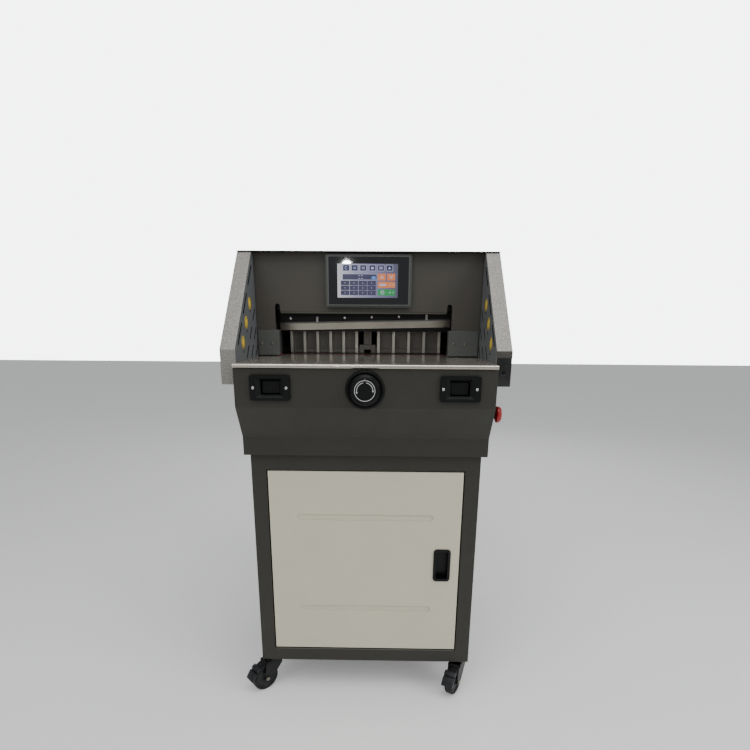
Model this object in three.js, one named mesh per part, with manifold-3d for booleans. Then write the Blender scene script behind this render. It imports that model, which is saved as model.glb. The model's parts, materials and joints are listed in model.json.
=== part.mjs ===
// Automatic paper guillotine with a 460 mm cut, standing on a cabinet with casters.
// Millimetres, +Z up, +Y towards the rear, +X to the operator's right.
// The origin is on the floor, under the middle of the whole machine.
// Depths are first counted from the front edge of the table, heights from the floor.

import * as THREE from "three";
import { mergeVertices } from "three/addons/utils/BufferGeometryUtils.js";
import Module from "manifold-3d";

// Clearances and cutting allowances
const seatGap = 0.3; // between neighbours that are bolted or fitted together
const runningGap = 1; // between pieces that slide past each other
const overrun = 6; // how far a cutter passes the face that it cuts

// Cabinet
const cabinetSideInset = 13; // from the lower housing's side
const cabinetDepth = 570;
const cabinetHeight = 598;
const cabinetSetback = 70; // from the table's front edge to the cabinet's front
const cabinetWall = 3;
const cabinetTopHoleWidth = 190;
const cabinetTopHoleDepth = 150;
const backPanelThickness = 2;
const louvreCount = 4;
const louvreLength = 100;
const louvrePitch = 14;
const louvreHeight = 8;
const louvreStandOut = 4;
const louvreSetback = 22; // from the cabinet's front
const louvreLowest = 355; // above the cabinet's floor
const backLouvreRows = 6;
const backLouvreDrop = 60; // from the panel's top edge to the first row

// Door
const doorStile = 41; // of the cabinet's front, beside the door
const doorHeight = 512;
const doorBottomGap = 41.5; // from the cabinet's bottom to the door's bottom
const doorThickness = 16;
const doorSkin = 2;
const doorGap = 3; // between the door and its opening
const doorRibEndDistance = 71.5; // from the door's side
const doorRibHeight = 17;
const doorRibDepth = 3;
const doorRibSpacing = 264; // between the two pressed ribs
const hingeInset = 6; // of the hinge rod's centre from the door's two faces
const hingeRodRadius = 2.5;
const hingeLugThickness = 3;
const hingeLugSide = 14;
const hingeStripWidth = 16;
const hingeKnuckleLength = 22;

// Recessed cup handle in the door
const cupWidth = 45;
const cupHeight = 92;
const cupCorner = 9;
const cupFlange = 2.5;
const cupDepth = 20;
const cupWall = 2;
const cupRim = 5;
const cupEdgeDistance = 45.5; // from the door's free edge to the cup's middle

// Casters
const casterHeight = 100;
const casterSideInset = 23; // from the cabinet's side to the swivel axis
const casterFrontInset = 30;
const casterRearInset = 45;
const casterPlateSide = 46;
const casterPlateThickness = 4;
const racewayRadius = 20;
const racewayHeight = 8;
const wheelRadius = 37.5;
const wheelWidth = 24;
const wheelHubRadius = 13;
const wheelTrail = 30; // from the swivel axis to the wheel's axle
const wheelDish = 3;
const axleRadius = 4;
const forkLegThickness = 2.5;
const forkSideGap = 2;
const forkCrownThickness = 5;
const forkEyeRadius = 10;
const pedalPinRadius = 2.5;
const pedalPinRise = 46; // above the axle
const pedalPinReach = 26; // out from the swivel axis
const pedalHubRadius = 6;
const pedalWidth = 32;
const pedalThickness = 5;
const pedalWheelGap = 1;
const pedalToeLength = 7;
const pedalStartDegrees = 62;
const pedalEndDegrees = 14;
const leftHeadingDegrees = 48; // the trail turned from straight forward to the left
const rightHeadingDegrees = 30;

// Lower housing, which is wider than the cabinet
const housingBesideCut = 72; // on average, beside each end of the cut
const housingDrop = 227; // from the table's surface to the housing's bottom edge
const housingFaceDrop = 100; // to the end of the upright face
const housingCreaseDrop = 181; // to the end of the raked face
const housingSetback = 6; // from the table's edge to the upright face
const housingRake = 50; // how far the raked face leads back
const housingWall = 2.5;
const housingFlange = 12;

// Two-hand cut buttons
const buttonSideDistance = 84; // from the housing's side to a button's middle
const buttonDrop = 54; // from the table's surface to the buttons' middle
const buttonPlateWidth = 93;
const buttonPlateHeight = 59;
const buttonPlateCorner = 6;
const buttonPlateStandOut = 7;
const buttonMouthWidth = 67;
const buttonMouthHeight = 46;
const buttonWellWidth = 44;
const buttonWellHeight = 32;
const buttonWellDepth = 26;
const buttonWellWall = 3;
const buttonWidth = 40;
const buttonHeight = 28;
const buttonCorner = 4;
const buttonThickness = 9;
const buttonTravel = 4;
const buttonStemRadius = 6;
const buttonRecess = 9; // from the housing's face in to the button's face

// Hand dial
const dialDrop = 57.5;
const dialBezelRadius = 45;
const dialBezelStandOut = 8;
const dialKnobRadius = 37.5;
const dialKnobStandOut = 21;
const dialFaceRadius = 30;
const dialShaftRadius = 8;
const dialShaftLength = 24;
const dialWellDepth = 4;

// Emergency stop on the right side
const stopSetback = 56; // behind the housing's upright face
const stopDrop = 121;
const stopCollarRadius = 22;
const stopCollarHeight = 4;
const stopStemRadius = 9;
const stopHeadRadius = 20;
const stopHeadHeight = 14;
const stopTravel = 5;
const stopStemLength = 26;
const stopSpigotRadius = 5;

// Table, bed and cutting stick
const tableThickness = 10;
const tableNoseRadius = 4.5;
const tableFullDepth = 290; // as far as the table keeps its full width
const headSetback = 270; // from the table's edge to the head's front panel
const knifeSetback = 100; // from the head's front panel to the cutting plane
const cuttingWidth = 460;
const cuttingOffset = -12; // the middle of the cut from the middle of the machine
const cuttingDepth = 460; // from the cutting plane back to the gauge's last place
const throatHeight = 65; // table to clamp
const stickSide = 14;
const stickBehindCut = 6; // how much of the stick lies behind the cutting plane
const stickSink = 4; // into the bed
const bedDepth = 190;
const bedThickness = 50;
const bedLegThickness = 12;
const gaugeSlotWidth = 20;
const gaugeSlotOffset = -5; // the gauge's slot from the middle of the machine
const rearTableEnd = 52; // behind the gauge's last place
const rearFlangeThickness = 6;
const rearFlangeDrop = 118;
const rearRimDrop = 26;
const rearRimThickness = 4;

// Portal that guides the knife and the clamp
const portalHeight = 225; // above the table
const uprightOuterThickness = 16;
const uprightThickness = 34;
const uprightDepth = 144;
const uprightShelf = 26; // length of the thin front part
const beamThickness = 16;
const beamBottom = 122; // above the table
const beamTop = 250;
const bridgeThickness = 22;
const bridgeDepth = 44;

// Knife yoke, carrier and blade
const yokeThickness = 20;
const yokeBottom = 125; // of its top bar, above the table
const yokeTop = 230;
const yokeArmWidth = 18;
const yokeArmClearance = 8;
const yokeLowerBarHeight = 30;
const yokeLowerBarDrop = 100; // below the table
const shoeRadius = 12;
const shoeGap = 0.5;
const shoeRise = 90; // of the guide shoes above the top bar's lower edge
const shoeInset = 20; // from each end of the cut
const cutSideways = 12; // how far the knife travels to the right during a cut
const nutRadius = 21;
const carrierHeight = 96;
const carrierLip = 22; // how much blade shows below the carrier
const bladeOverlap = 30; // of the blade over the cut, both ends together
const bladeThickness = 8;
const bladeHeight = 62;
const bladeBevelHeight = 17.5;
const bladeEdgeWidth = 0.6;
const bladeLeftRise = 67.5; // of the cutting edge's left end above the table
const bladeRightLift = 11.5; // of the edge's right end over its left
const bladeRestGap = 0.3; // over the stick at the end of a cut
const bladeEndInset = 16; // of the blade's left end from the cut's left side
const pivotRise = 82.5; // of the carrier's pivot above the edge
const pivotInset = 18; // of the pivot from the blade's left end
const pivotRadius = 10;
const tiltPinRadius = 8;
const tiltPinInset = 32; // from the blade's right end
const carrierFilletShare = 0.06; // of the carrier's height

// Knife drive
const knifeScrewRadius = 10;
const knifeScrewRise = 20; // above the nut's upper end
const knifeGearRise = 8; // of the gear case above the cabinet's top
const knifeMountWidth = 230;
const knifeMountDepth = 190;
const knifeMountThickness = 4;
const knifeMotorRadius = 58;
const knifeMotorLength = 175;
const knifeMotorFlange = 10;
const knifeMotorCapLength = 28;
const knifeGearRadius = 44;
const knifeGearLength = 52;
const knifeMotorRibs = 6;
const knifeMotorRibDepth = 5;

// Clamp
const clampThickness = 40;
const clampHeight = 120;
const clampSideGap = 2;
const clampFootThickness = 6;
const clampFootSink = 2;
const clampScrewRadius = 9;
const clampScrewEngagement = 75;
const clampBoreExtra = 2;
const clampGearHeight = 15;
const clampGearWidth = 90;
const clampMotorRadius = 27;
const clampMotorLength = 95;
const clampMotorGap = 7; // behind the bridge

// Back gauge
const gaugeRestGap = 20; // between the clamp's back and the gauge's ribs
const gaugeEndGap = 3; // between the gauge's end and the end of the cut
const gaugePlateThickness = 8;
const gaugeRibDepth = 18;
const gaugeRibWidth = 9;
const gaugeHeight = 92;
const gaugeLeftRibs = 6;
const gaugeRightRibs = 5;
const gaugeLift = 1; // over the table
const gaugeRailHeight = 12;
const gaugeBlockWidth = 48;
const gaugeBlockHeight = 24;
const gaugeNotchWidth = 20;
const gaugeNotchHeight = 10;
const gaugeBlockGap = 9; // from the block's side to the next rib
const carriageWidth = 50;
const carriageDepth = 24;
const carriageHeight = 30;
const carriageNeckWidth = 16;
const gaugeScrewDrop = 100; // of the lead screw below the table
const gaugeScrewRadius = 8;
const gaugeMotorSide = 57;
const gaugeMotorLength = 52;
const gaugeMotorPlate = 6;
const gaugeMotorPlateWidth = 80;
const gaugeMotorCorner = 6;
const gaugePlateGap = 3; // in front of the nut's foremost place

// Wings beside the table
const wingThickness = 36.2;
const wingWall = 2.5;
const wingSetback = 38; // from the table's edge to the wing's front
const wingDrop = 51.5; // below the table
const wingFrontRise = 29.5; // above the table, to the foot of the slope
const wingCrestSetback = 246; // from the table's edge to the top of the slope
const wingCrestRise = 261;
const wingPlateThickness = 1.2;
const longSlotCount = 3;
const longSlotLength = 68;
const longSlotWidth = 7;
const longSlotPitch = 95.5;
const longSlotFirst = 61; // from the foot of the slope to the first slot's middle
const longSlotInset = 18; // square in from the sloping edge
const shortSlotRows = 3;
const shortSlotCount = 3; // in the first row, and one fewer in each row after it
const shortSlotLength = 42;
const shortSlotWidth = 6;
const shortSlotPitch = 61;
const shortSlotFirst = 74;
const shortSlotInset = 100;
const shortSlotRowPitch = 36;
const beamHoleCount = 3;
const beamHoleRadius = 3.5;
const beamHoleInset = 67;
const beamHoleFirst = 47;
const beamHolePitch = 65;
const curtainWidth = 20;
const curtainDepth = 17;
const curtainLensRadius = 6;
const curtainLensHeight = 2;
const curtainEndCap = 4;

// Head
const headRise = 267; // of its top over the table
const headDepth = 212; // from the front panel to the rear wall
const headSheet = 2;
const headTopSetback = 246; // of the top sheet's front edge from the table's edge
const headFootGap = 3;
const throatLeftMargin = 8; // of the cut-out outside the cut
const throatRightMargin = 7;
const throatCutRise = 117; // of the cut-out's top edge over the table
const notchRise = 138;
const notchWidth = 13;
const guideRise = 70;
const guideFoot = 3;
const guideThickness = 2.5;
const guideReturn = 28;
const guideOuterGap = 3;

// Display
const bezelWidth = 226;
const bezelHeight = 132;
const bezelCorner = 7;
const bezelStandOut = 18;
const bezelOffset = 1.5;
const bezelRise = 195; // of its middle over the table
const bezelTaper = 4;
const glassWidth = 208;
const glassHeight = 117;
const glassThickness = 3;
const glassRecess = 1.2;
const displayBackDepth = 6;
const displayCableSpace = 18;
const displayBackMargin = 8;
const displayModuleWidth = 165;
const displayModuleHeight = 100;

// Rear cover
const hoodRise = 112; // over the table
const hoodClearance = 20; // behind the rear table
const hoodSheet = 2;
const hoodDrop = 132; // below the table, behind the housing

// Control box in the cabinet
const controlWidth = 170;
const controlDepth = 130;
const controlHeight = 150;
const controlSideInset = 30;
const controlCoverLip = 3;
const controlFinCount = 6;
const controlFinHeight = 6;
const controlFinThickness = 4;

// How finely round stretches are divided
const coarseSides = 20;
const roundSides = 32;
const wheelSides = 24;
const cornerSteps = 2;
const slotSteps = 3;

// Places that follow from the sizes above
const half = 1 / 2;
const housingWidth = cuttingWidth + housingBesideCut * 2;
const cabinetWidth = housingWidth - cabinetSideInset * 2;
const doorWidth = cabinetWidth - doorStile * 2;
const doorRibLength = doorWidth - doorRibEndDistance * 2;
const buttonSpacing = housingWidth - buttonSideDistance * 2;
const bladeLength = cuttingWidth + bladeOverlap;
const tiltPinSpacing = bladeLength - pivotInset - tiltPinInset;
const shoeSpacing = cuttingWidth - shoeInset * 2;
const gaugeWidth = cuttingWidth - gaugeEndGap * 2;
const cabinetBottom = casterHeight;
const cabinetTop = cabinetBottom + cabinetHeight;
const tableTop = cabinetTop + housingDrop;
const tableUnder = tableTop - tableThickness;
const cabinetFront = cabinetSetback;
const cabinetRear = cabinetFront + cabinetDepth;
const cabinetSide = cabinetWidth * half;
const housingSide = housingWidth * half;
const housingFront = housingSetback;
const cutLeft = cuttingOffset - cuttingWidth * half;
const cutRight = cuttingOffset + cuttingWidth * half;
const cutPlane = headSetback + knifeSetback;
const wingInner = housingSide + seatGap;
const wingOuter = wingInner + wingThickness;
const headTop = tableTop + headRise;
const headRear = headSetback + headDepth;
const clampFront = cutPlane + runningGap;
const clampRear = clampFront + clampThickness;
const gaugeFront = clampRear + gaugeRestGap;
const gaugePlateFront = gaugeFront + gaugeRibDepth;
const gaugePlateRear = gaugePlateFront + gaugePlateThickness;
const rearTableRear = cutPlane + cuttingDepth + rearTableEnd;
const hoodRear = rearTableRear + hoodClearance;
const machineFront = housingFront - dialKnobStandOut;
const depthCentre = (machineFront + hoodRear) * half;

// Direction of the knife's stroke: down and to the right
const bladeTilt = Math.asin(bladeRightLift / bladeLength);
const pivotX = cutLeft - bladeEndInset + pivotInset;
const pivotZ = tableTop + bladeLeftRise + pivotRise;
const strokeDown = bladeLeftRise - bladeRestGap;
const strokeAngle = Math.atan2(cutSideways, strokeDown);

const wasm = await Module();
wasm.setup();

// A closed three.js geometry as a solid that can be joined and cut
function solidOf(geometry) {
  const bare = geometry.index ? geometry.toNonIndexed() : geometry.clone();
  bare.deleteAttribute("normal");
  bare.deleteAttribute("uv");
  const merged = mergeVertices(bare);
  return new wasm.Manifold(
    new wasm.Mesh({
      numProp: 3,
      vertProperties: merged.getAttribute("position").array,
      triVerts: new Uint32Array(merged.index.array),
    }),
  );
}

const join = (first, ...rest) => rest.reduce((made, piece) => made.add(piece), first);
const cut = (first, ...rest) => rest.reduce((made, piece) => made.subtract(piece), first);

// A block between two limits along each axis
function block([x0, x1], [y0, y1], [z0, z1]) {
  const geometry = new THREE.BoxGeometry(x1 - x0, y1 - y0, z1 - z0);
  geometry.translate((x0 + x1) * half, (y0 + y1) * half, (z0 + z1) * half);
  return solidOf(geometry);
}

// The limits of a stretch of a given length about its middle
const about = (middle, length) => [middle - length * half, middle + length * half];

const outline = (points) => new THREE.Shape(points.map(([a, b]) => new THREE.Vector2(a, b)));

function roundedOutline([a0, a1], [b0, b1], radius) {
  const shape = new THREE.Shape();
  shape.moveTo(a0 + radius, b0);
  shape.lineTo(a1 - radius, b0);
  shape.absarc(a1 - radius, b0 + radius, radius, -Math.PI * half, 0);
  shape.lineTo(a1, b1 - radius);
  shape.absarc(a1 - radius, b1 - radius, radius, 0, Math.PI * half);
  shape.lineTo(a0 + radius, b1);
  shape.absarc(a0 + radius, b1 - radius, radius, Math.PI * half, Math.PI);
  shape.lineTo(a0, b0 + radius);
  shape.absarc(a0 + radius, b0 + radius, radius, Math.PI, Math.PI * 1.5);
  return shape;
}

// Axes that an outline's two directions and its thickness are laid along
const layouts = {
  x: new THREE.Matrix4().set(0, 0, 1, 0, 1, 0, 0, 0, 0, 1, 0, 0, 0, 0, 0, 1),
  y: new THREE.Matrix4().set(1, 0, 0, 0, 0, 0, -1, 0, 0, 1, 0, 0, 0, 0, 0, 1),
  z: new THREE.Matrix4(),
};

// An outline given thickness along x, y or z, between two places on that axis
function prism(axis, shape, [from, to], steps = cornerSteps) {
  const depth = to - from;
  const geometry = new THREE.ExtrudeGeometry(shape, {
    depth,
    bevelEnabled: false,
    curveSegments: steps,
  });
  geometry.translate(0, 0, axis === "y" ? -to : from);
  geometry.applyMatrix4(layouts[axis]);
  return solidOf(geometry);
}

// Turns a solid's own upright axis onto x, y or z
const uprightTo = {
  x: new THREE.Matrix4().makeRotationZ(-Math.PI * half),
  y: new THREE.Matrix4(),
  z: new THREE.Matrix4().makeRotationX(Math.PI * half),
};

// A revolved profile of [radius, height] pairs about an axis through a point
function turned(axis, [x, y, z], profile, sides = roundSides) {
  const points = profile.map(([radius, height]) => new THREE.Vector2(radius, height));
  const geometry = new THREE.LatheGeometry(points, sides);
  geometry.applyMatrix4(uprightTo[axis]);
  geometry.translate(x, y, z);
  return solidOf(geometry);
}

// A rod about an axis, between two places on it, measured from the point given
function rod(axis, centre, radius, [from, to], sides = roundSides) {
  const profile = [
    [0, from],
    [radius, from],
    [radius, to],
    [0, to],
  ];
  return turned(axis, centre, profile, sides);
}

// A slot with round ends, along a line that is turned from the first axis of its plane
function slotOutline([a, b], length, width, angle) {
  const radius = width * half;
  const reach = (length - width) * half;
  const shape = new THREE.Shape();
  const side = angle + Math.PI * half;
  const at = (sign) => [a + sign * reach * Math.cos(angle), b + sign * reach * Math.sin(angle)];
  const [endA, endB] = at(1);
  const [startA, startB] = at(-1);
  shape.moveTo(endA - radius * Math.cos(side), endB - radius * Math.sin(side));
  shape.absarc(endA, endB, radius, side - Math.PI, side);
  shape.absarc(startA, startB, radius, side, side + Math.PI);
  return shape;
}

function finish(name, color, roughness, metalness) {
  return new THREE.MeshStandardMaterial({ name, color, roughness, metalness });
}

const finishes = {
  darkGrey: finish("body_grey", 0x423f39, 0.55, 0.1),
  cream: finish("door_cream", 0xb2afa0, 0.5, 0.1),
  hammertone: finish("hammertone_grey", 0x9a978f, 0.45, 0.3),
  wingGrey: finish("wing_grey", 0x62666a, 0.5, 0.2),
  guideGrey: finish("guide_grey", 0x4b4e4b, 0.45, 0.3),
  polished: finish("polished_steel", 0xc9c9c6, 0.15, 1),
  steel: finish("machined_steel", 0x8f8d88, 0.35, 0.9),
  bladeSteel: finish("blade_steel", 0x8c8576, 0.3, 0.9),
  castGrey: finish("cast_grey", 0x55585a, 0.7, 0.3),
  blackSteel: finish("black_steel", 0x1b1c1d, 0.5, 0.5),
  blackPlastic: finish("black_plastic", 0x16191a, 0.5, 0),
  tyre: finish("tyre_black", 0x141414, 0.8, 0),
  redPlastic: finish("red_plastic", 0xb5221c, 0.4, 0),
  stickRed: finish("stick_red", 0x6e1a1a, 0.6, 0),
  glass: finish("screen_glass", 0x0b0c10, 0.08, 0),
  aluminium: finish("aluminium", 0xa9abac, 0.4, 0.9),
};

const group = new THREE.Group();
group.name = "automatic_paper_guillotine";
group.position.y = -depthCentre;

function add(parent, name, solid, material) {
  const { vertProperties, triVerts, numProp } = solid.getMesh();
  const vertices = vertProperties.length / numProp;
  const positions = new Float32Array(vertices * 3);
  for (let i = 0; i < vertices; i += 1) {
    positions.set(vertProperties.subarray(i * numProp, i * numProp + 3), i * 3);
  }
  const geometry = new THREE.BufferGeometry();
  geometry.setAttribute("position", new THREE.BufferAttribute(positions, 3));
  geometry.setIndex(new THREE.BufferAttribute(new Uint32Array(triVerts), 1));
  geometry.computeVertexNormals();
  const mesh = new THREE.Mesh(geometry, material);
  mesh.name = name;
  parent.add(mesh);
  return mesh;
}

const sides = [
  { name: "left", sign: -1 },
  { name: "right", sign: 1 },
];

// Cabinet: a bent sheet box, open at the back, with a framed door opening
const doorBottom = cabinetBottom + doorBottomGap;
const doorTop = doorBottom + doorHeight;
const doorLeft = -doorWidth * half;
const doorRight = doorWidth * half;

function louvre(sign, lowest) {
  const outer = sign * (cabinetSide + louvreStandOut);
  const inner = sign * (cabinetSide - cabinetWall * half);
  const lip = outline([
    [inner, lowest],
    [outer, lowest],
    [inner, lowest + louvreHeight],
  ]);
  const front = cabinetFront + louvreSetback;
  return prism("y", lip, [front, front + louvreLength]);
}

function louvreMouth(sign, lowest) {
  const front = cabinetFront + louvreSetback + cabinetWall;
  const sheet = sign * cabinetSide;
  const limits = [sheet - cabinetWall - overrun, sheet + louvreStandOut * half];
  const mirrored = [sheet - louvreStandOut * half, sheet + cabinetWall + overrun];
  return block(
    sign > 0 ? limits : mirrored,
    [front, front + louvreLength - cabinetWall * 2],
    [lowest - louvreStandOut * half, lowest + louvreStandOut * half],
  );
}

function makeCabinet() {
  const box = block(
    [-cabinetSide, cabinetSide],
    [cabinetFront, cabinetRear],
    [cabinetBottom, cabinetTop],
  );
  const hollow = block(
    [-cabinetSide + cabinetWall, cabinetSide - cabinetWall],
    [cabinetFront + cabinetWall, cabinetRear + overrun],
    [cabinetBottom + cabinetWall, cabinetTop - cabinetWall],
  );
  const doorway = block(
    [doorLeft - doorGap, doorRight + doorGap],
    [cabinetFront - overrun, cabinetFront + cabinetWall + overrun],
    [doorBottom - doorGap, doorTop + doorGap],
  );
  const cableHole = block(
    about(screwBaseX, cabinetTopHoleWidth),
    about(yokeMiddle, cabinetTopHoleDepth),
    [cabinetTop - cabinetWall - overrun, cabinetTop + overrun],
  );
  const rebate = block(
    [-cabinetSide + cabinetWall, cabinetSide - cabinetWall],
    [cabinetRear - backPanelThickness - seatGap, cabinetRear + overrun],
    [cabinetBottom - overrun, cabinetTop + overrun],
  );
  let shell = cut(box, hollow, doorway, cableHole, rebate);
  for (const { sign } of sides) {
    for (let row = 0; row < louvreCount; row += 1) {
      const lowest = cabinetBottom + louvreLowest + row * louvrePitch;
      shell = cut(join(shell, louvre(sign, lowest)), louvreMouth(sign, lowest));
    }
  }
  add(group, "cabinet_shell", shell, finishes.darkGrey);

  const margin = cabinetWall + seatGap;
  let panel = block(
    [-cabinetSide + margin, cabinetSide - margin],
    [cabinetRear - backPanelThickness, cabinetRear],
    [cabinetBottom, cabinetTop - seatGap],
  );
  for (let row = 0; row < backLouvreRows; row += 1) {
    const height = cabinetTop - backLouvreDrop - row * louvrePitch;
    for (const { sign } of sides) {
      const vent = slotOutline([sign * louvreLength, height], louvreLength, louvreHeight * half, 0);
      panel = cut(panel, prism("y", vent, [cabinetRear - backPanelThickness - overrun, cabinetRear + overrun]));
    }
  }
  add(group, "cabinet_back_panel", panel, finishes.darkGrey);
}

// Door: a folded tray with two pressed ribs, on a rod at its left edge
const doorMiddle = (doorBottom + doorTop) * half;
const hingeX = doorLeft + hingeInset;
const hingeY = cabinetFront + hingeInset;
const cupX = doorRight - cupEdgeDistance;

function makeDoor() {
  const inner = cabinetFront + doorSkin;
  const back = cabinetFront + doorThickness;
  const tray = cut(
    block([doorLeft, doorRight], [cabinetFront, back], [doorBottom, doorTop]),
    block(
      [doorLeft + doorSkin, doorRight - doorSkin],
      [inner, back + overrun],
      [doorBottom + doorSkin, doorTop - doorSkin],
    ),
  );
  const knuckle = (bottom) =>
    block(
      [doorLeft, doorLeft + hingeInset * 2],
      [cabinetFront + doorSkin * half, hingeY + hingeInset],
      [bottom, bottom + hingeKnuckleLength],
    );
  let door = join(tray, knuckle(doorBottom), knuckle(doorTop - hingeKnuckleLength));
  for (const { sign } of sides) {
    const height = doorMiddle + sign * doorRibSpacing * half;
    const rim = slotOutline([0, height], doorRibLength + doorSkin * 2, doorRibHeight + doorSkin * 2, 0);
    const groove = slotOutline([0, height], doorRibLength, doorRibHeight, 0);
    door = join(door, prism("y", rim, [cabinetFront, inner + doorRibDepth]));
    door = cut(door, prism("y", groove, [cabinetFront - overrun, cabinetFront + doorRibDepth]));
  }
  const rodHole = rod(
    "z",
    [hingeX, hingeY, 0],
    hingeRodRadius + seatGap,
    [doorBottom - overrun, doorTop + overrun],
    coarseSides,
  );
  const cupHole = roundedOutline(
    about(cupX, cupWidth - cupRim * 2 + seatGap * 2),
    about(doorMiddle, cupHeight - cupRim * 2 + seatGap * 2),
    cupCorner - cupRim * half,
  );
  door = cut(door, rodHole, prism("y", cupHole, [cabinetFront - overrun, inner + overrun]));
  add(group, "door_panel", door, finishes.cream);

  const flange = roundedOutline(about(cupX, cupWidth), about(doorMiddle, cupHeight), cupCorner);
  const bodyWidth = cupWidth - cupRim * 2;
  const bodyHeight = cupHeight - cupRim * 2;
  const body = roundedOutline(about(cupX, bodyWidth), about(doorMiddle, bodyHeight), cupCorner - cupRim * half);
  const well = roundedOutline(
    about(cupX, bodyWidth - cupWall * 2),
    about(doorMiddle, bodyHeight - cupWall * 2),
    cupCorner - cupRim * half - cupWall,
  );
  const lip = cabinetFront - seatGap;
  const cup = cut(
    join(
      prism("y", flange, [lip - cupFlange, lip]),
      prism("y", body, [lip - cupFlange * half, lip + cupDepth]),
    ),
    prism("y", well, [lip - cupFlange - overrun, lip + cupDepth - cupWall]),
  );
  add(group, "door_handle_cup", cup, finishes.blackPlastic);

  const stripFront = cabinetFront + cabinetWall + seatGap;
  const stripRight = doorLeft - doorGap * half;
  const lug = (bottom) =>
    block(
      [stripRight - hingeStripWidth, hingeX + hingeLugSide * half],
      [stripFront, hingeY + hingeLugSide * half],
      [bottom, bottom + hingeLugThickness],
    );
  const lowLug = doorBottom - doorGap * half - hingeLugThickness;
  const highLug = doorTop + doorGap * half;
  const strip = block(
    [stripRight - hingeStripWidth, stripRight - doorGap],
    [stripFront, stripFront + hingeLugThickness],
    [lowLug, highLug + hingeLugThickness],
  );
  const hinge = join(
    strip,
    lug(lowLug),
    lug(highLug),
    rod("z", [hingeX, hingeY, 0], hingeRodRadius, [lowLug, highLug + hingeLugThickness], coarseSides),
  );
  add(group, "door_hinge", hinge, finishes.steel);
}

// Casters: braked swivel casters in front, fixed ones behind.
// A caster is built about its swivel axis, with the wheel trailing along +Y before it is turned.
const axleZ = wheelRadius;
const legInner = wheelWidth * half + forkSideGap;
const legOuter = legInner + forkLegThickness;
const racewayBottom = casterHeight - casterPlateThickness - racewayHeight;
const crownTop = racewayBottom - seatGap;
const crownBottom = crownTop - forkCrownThickness;

function forkLegs(top) {
  const leg = new THREE.Shape();
  leg.moveTo(-racewayRadius, top);
  leg.lineTo(-racewayRadius, top - forkCrownThickness);
  leg.lineTo(wheelTrail - forkEyeRadius, axleZ);
  leg.absarc(wheelTrail, axleZ, forkEyeRadius, Math.PI, Math.PI * 2);
  leg.lineTo(pedalPinReach + pedalHubRadius, top - forkCrownThickness);
  leg.lineTo(pedalPinReach + pedalHubRadius, top);
  return join(
    prism("x", leg, [-legOuter, -legInner], slotSteps),
    prism("x", leg, [legInner, legOuter], slotSteps),
    block([-legOuter, legOuter], [-racewayRadius, racewayRadius * half], [top - forkCrownThickness, top]),
    rod("x", [0, wheelTrail, axleZ], axleRadius, [-legOuter, legOuter], coarseSides),
  );
}

function wheelSolid() {
  const edge = wheelWidth * half;
  const shoulder = edge - wheelDish;
  const bore = axleRadius + seatGap;
  return turned(
    "x",
    [0, wheelTrail, axleZ],
    [
      [bore, -edge],
      [wheelHubRadius, -edge],
      [wheelHubRadius + wheelDish, -shoulder],
      [wheelRadius - wheelDish * 2, -shoulder],
      [wheelRadius - wheelDish, -edge],
      [wheelRadius, -edge + wheelDish],
      [wheelRadius, edge - wheelDish],
      [wheelRadius - wheelDish, edge],
      [wheelRadius - wheelDish * 2, shoulder],
      [wheelHubRadius + wheelDish, shoulder],
      [wheelHubRadius, edge],
      [bore, edge],
      [bore, -edge],
    ],
    wheelSides,
  );
}

function pedalSolid() {
  const inner = wheelRadius + pedalWheelGap;
  const outer = inner + pedalThickness;
  const start = THREE.MathUtils.degToRad(pedalStartDegrees);
  const end = THREE.MathUtils.degToRad(pedalEndDegrees);
  const at = (radius, angle) => [
    wheelTrail + radius * Math.cos(angle),
    axleZ + radius * Math.sin(angle),
  ];
  const [toeY, toeZ] = at(outer, end);
  const [heelY, heelZ] = at(inner, end);
  const tread = new THREE.Shape();
  tread.moveTo(...at(inner, start));
  tread.absarc(wheelTrail, axleZ, inner, start, end, true);
  tread.lineTo(heelY + pedalToeLength, heelZ);
  tread.lineTo(toeY + pedalToeLength, toeZ);
  tread.absarc(wheelTrail, axleZ, outer, end, start, false);
  const pinY = pedalPinReach;
  const pinZ = axleZ + pedalPinRise;
  const [neckY, neckZ] = at(outer, start);
  const [throatY, throatZ] = at(inner, start);
  const neck = outline([
    [pinY, pinZ - pedalHubRadius],
    [throatY, throatZ],
    [neckY + pedalThickness * half, neckZ - pedalThickness * half],
    [neckY, neckZ],
    [pinY, pinZ + pedalHubRadius * half],
  ]);
  const neckHalf = legInner - forkSideGap * half;
  return cut(
    join(
      prism("x", tread, about(0, pedalWidth)),
      prism("x", neck, [-neckHalf, neckHalf]),
      rod("x", [0, pinY, pinZ], pedalHubRadius, [-neckHalf, neckHalf], coarseSides),
    ),
    rod("x", [0, pinY, pinZ], pedalPinRadius + seatGap, [-pedalWidth, pedalWidth], coarseSides),
  );
}

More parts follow.
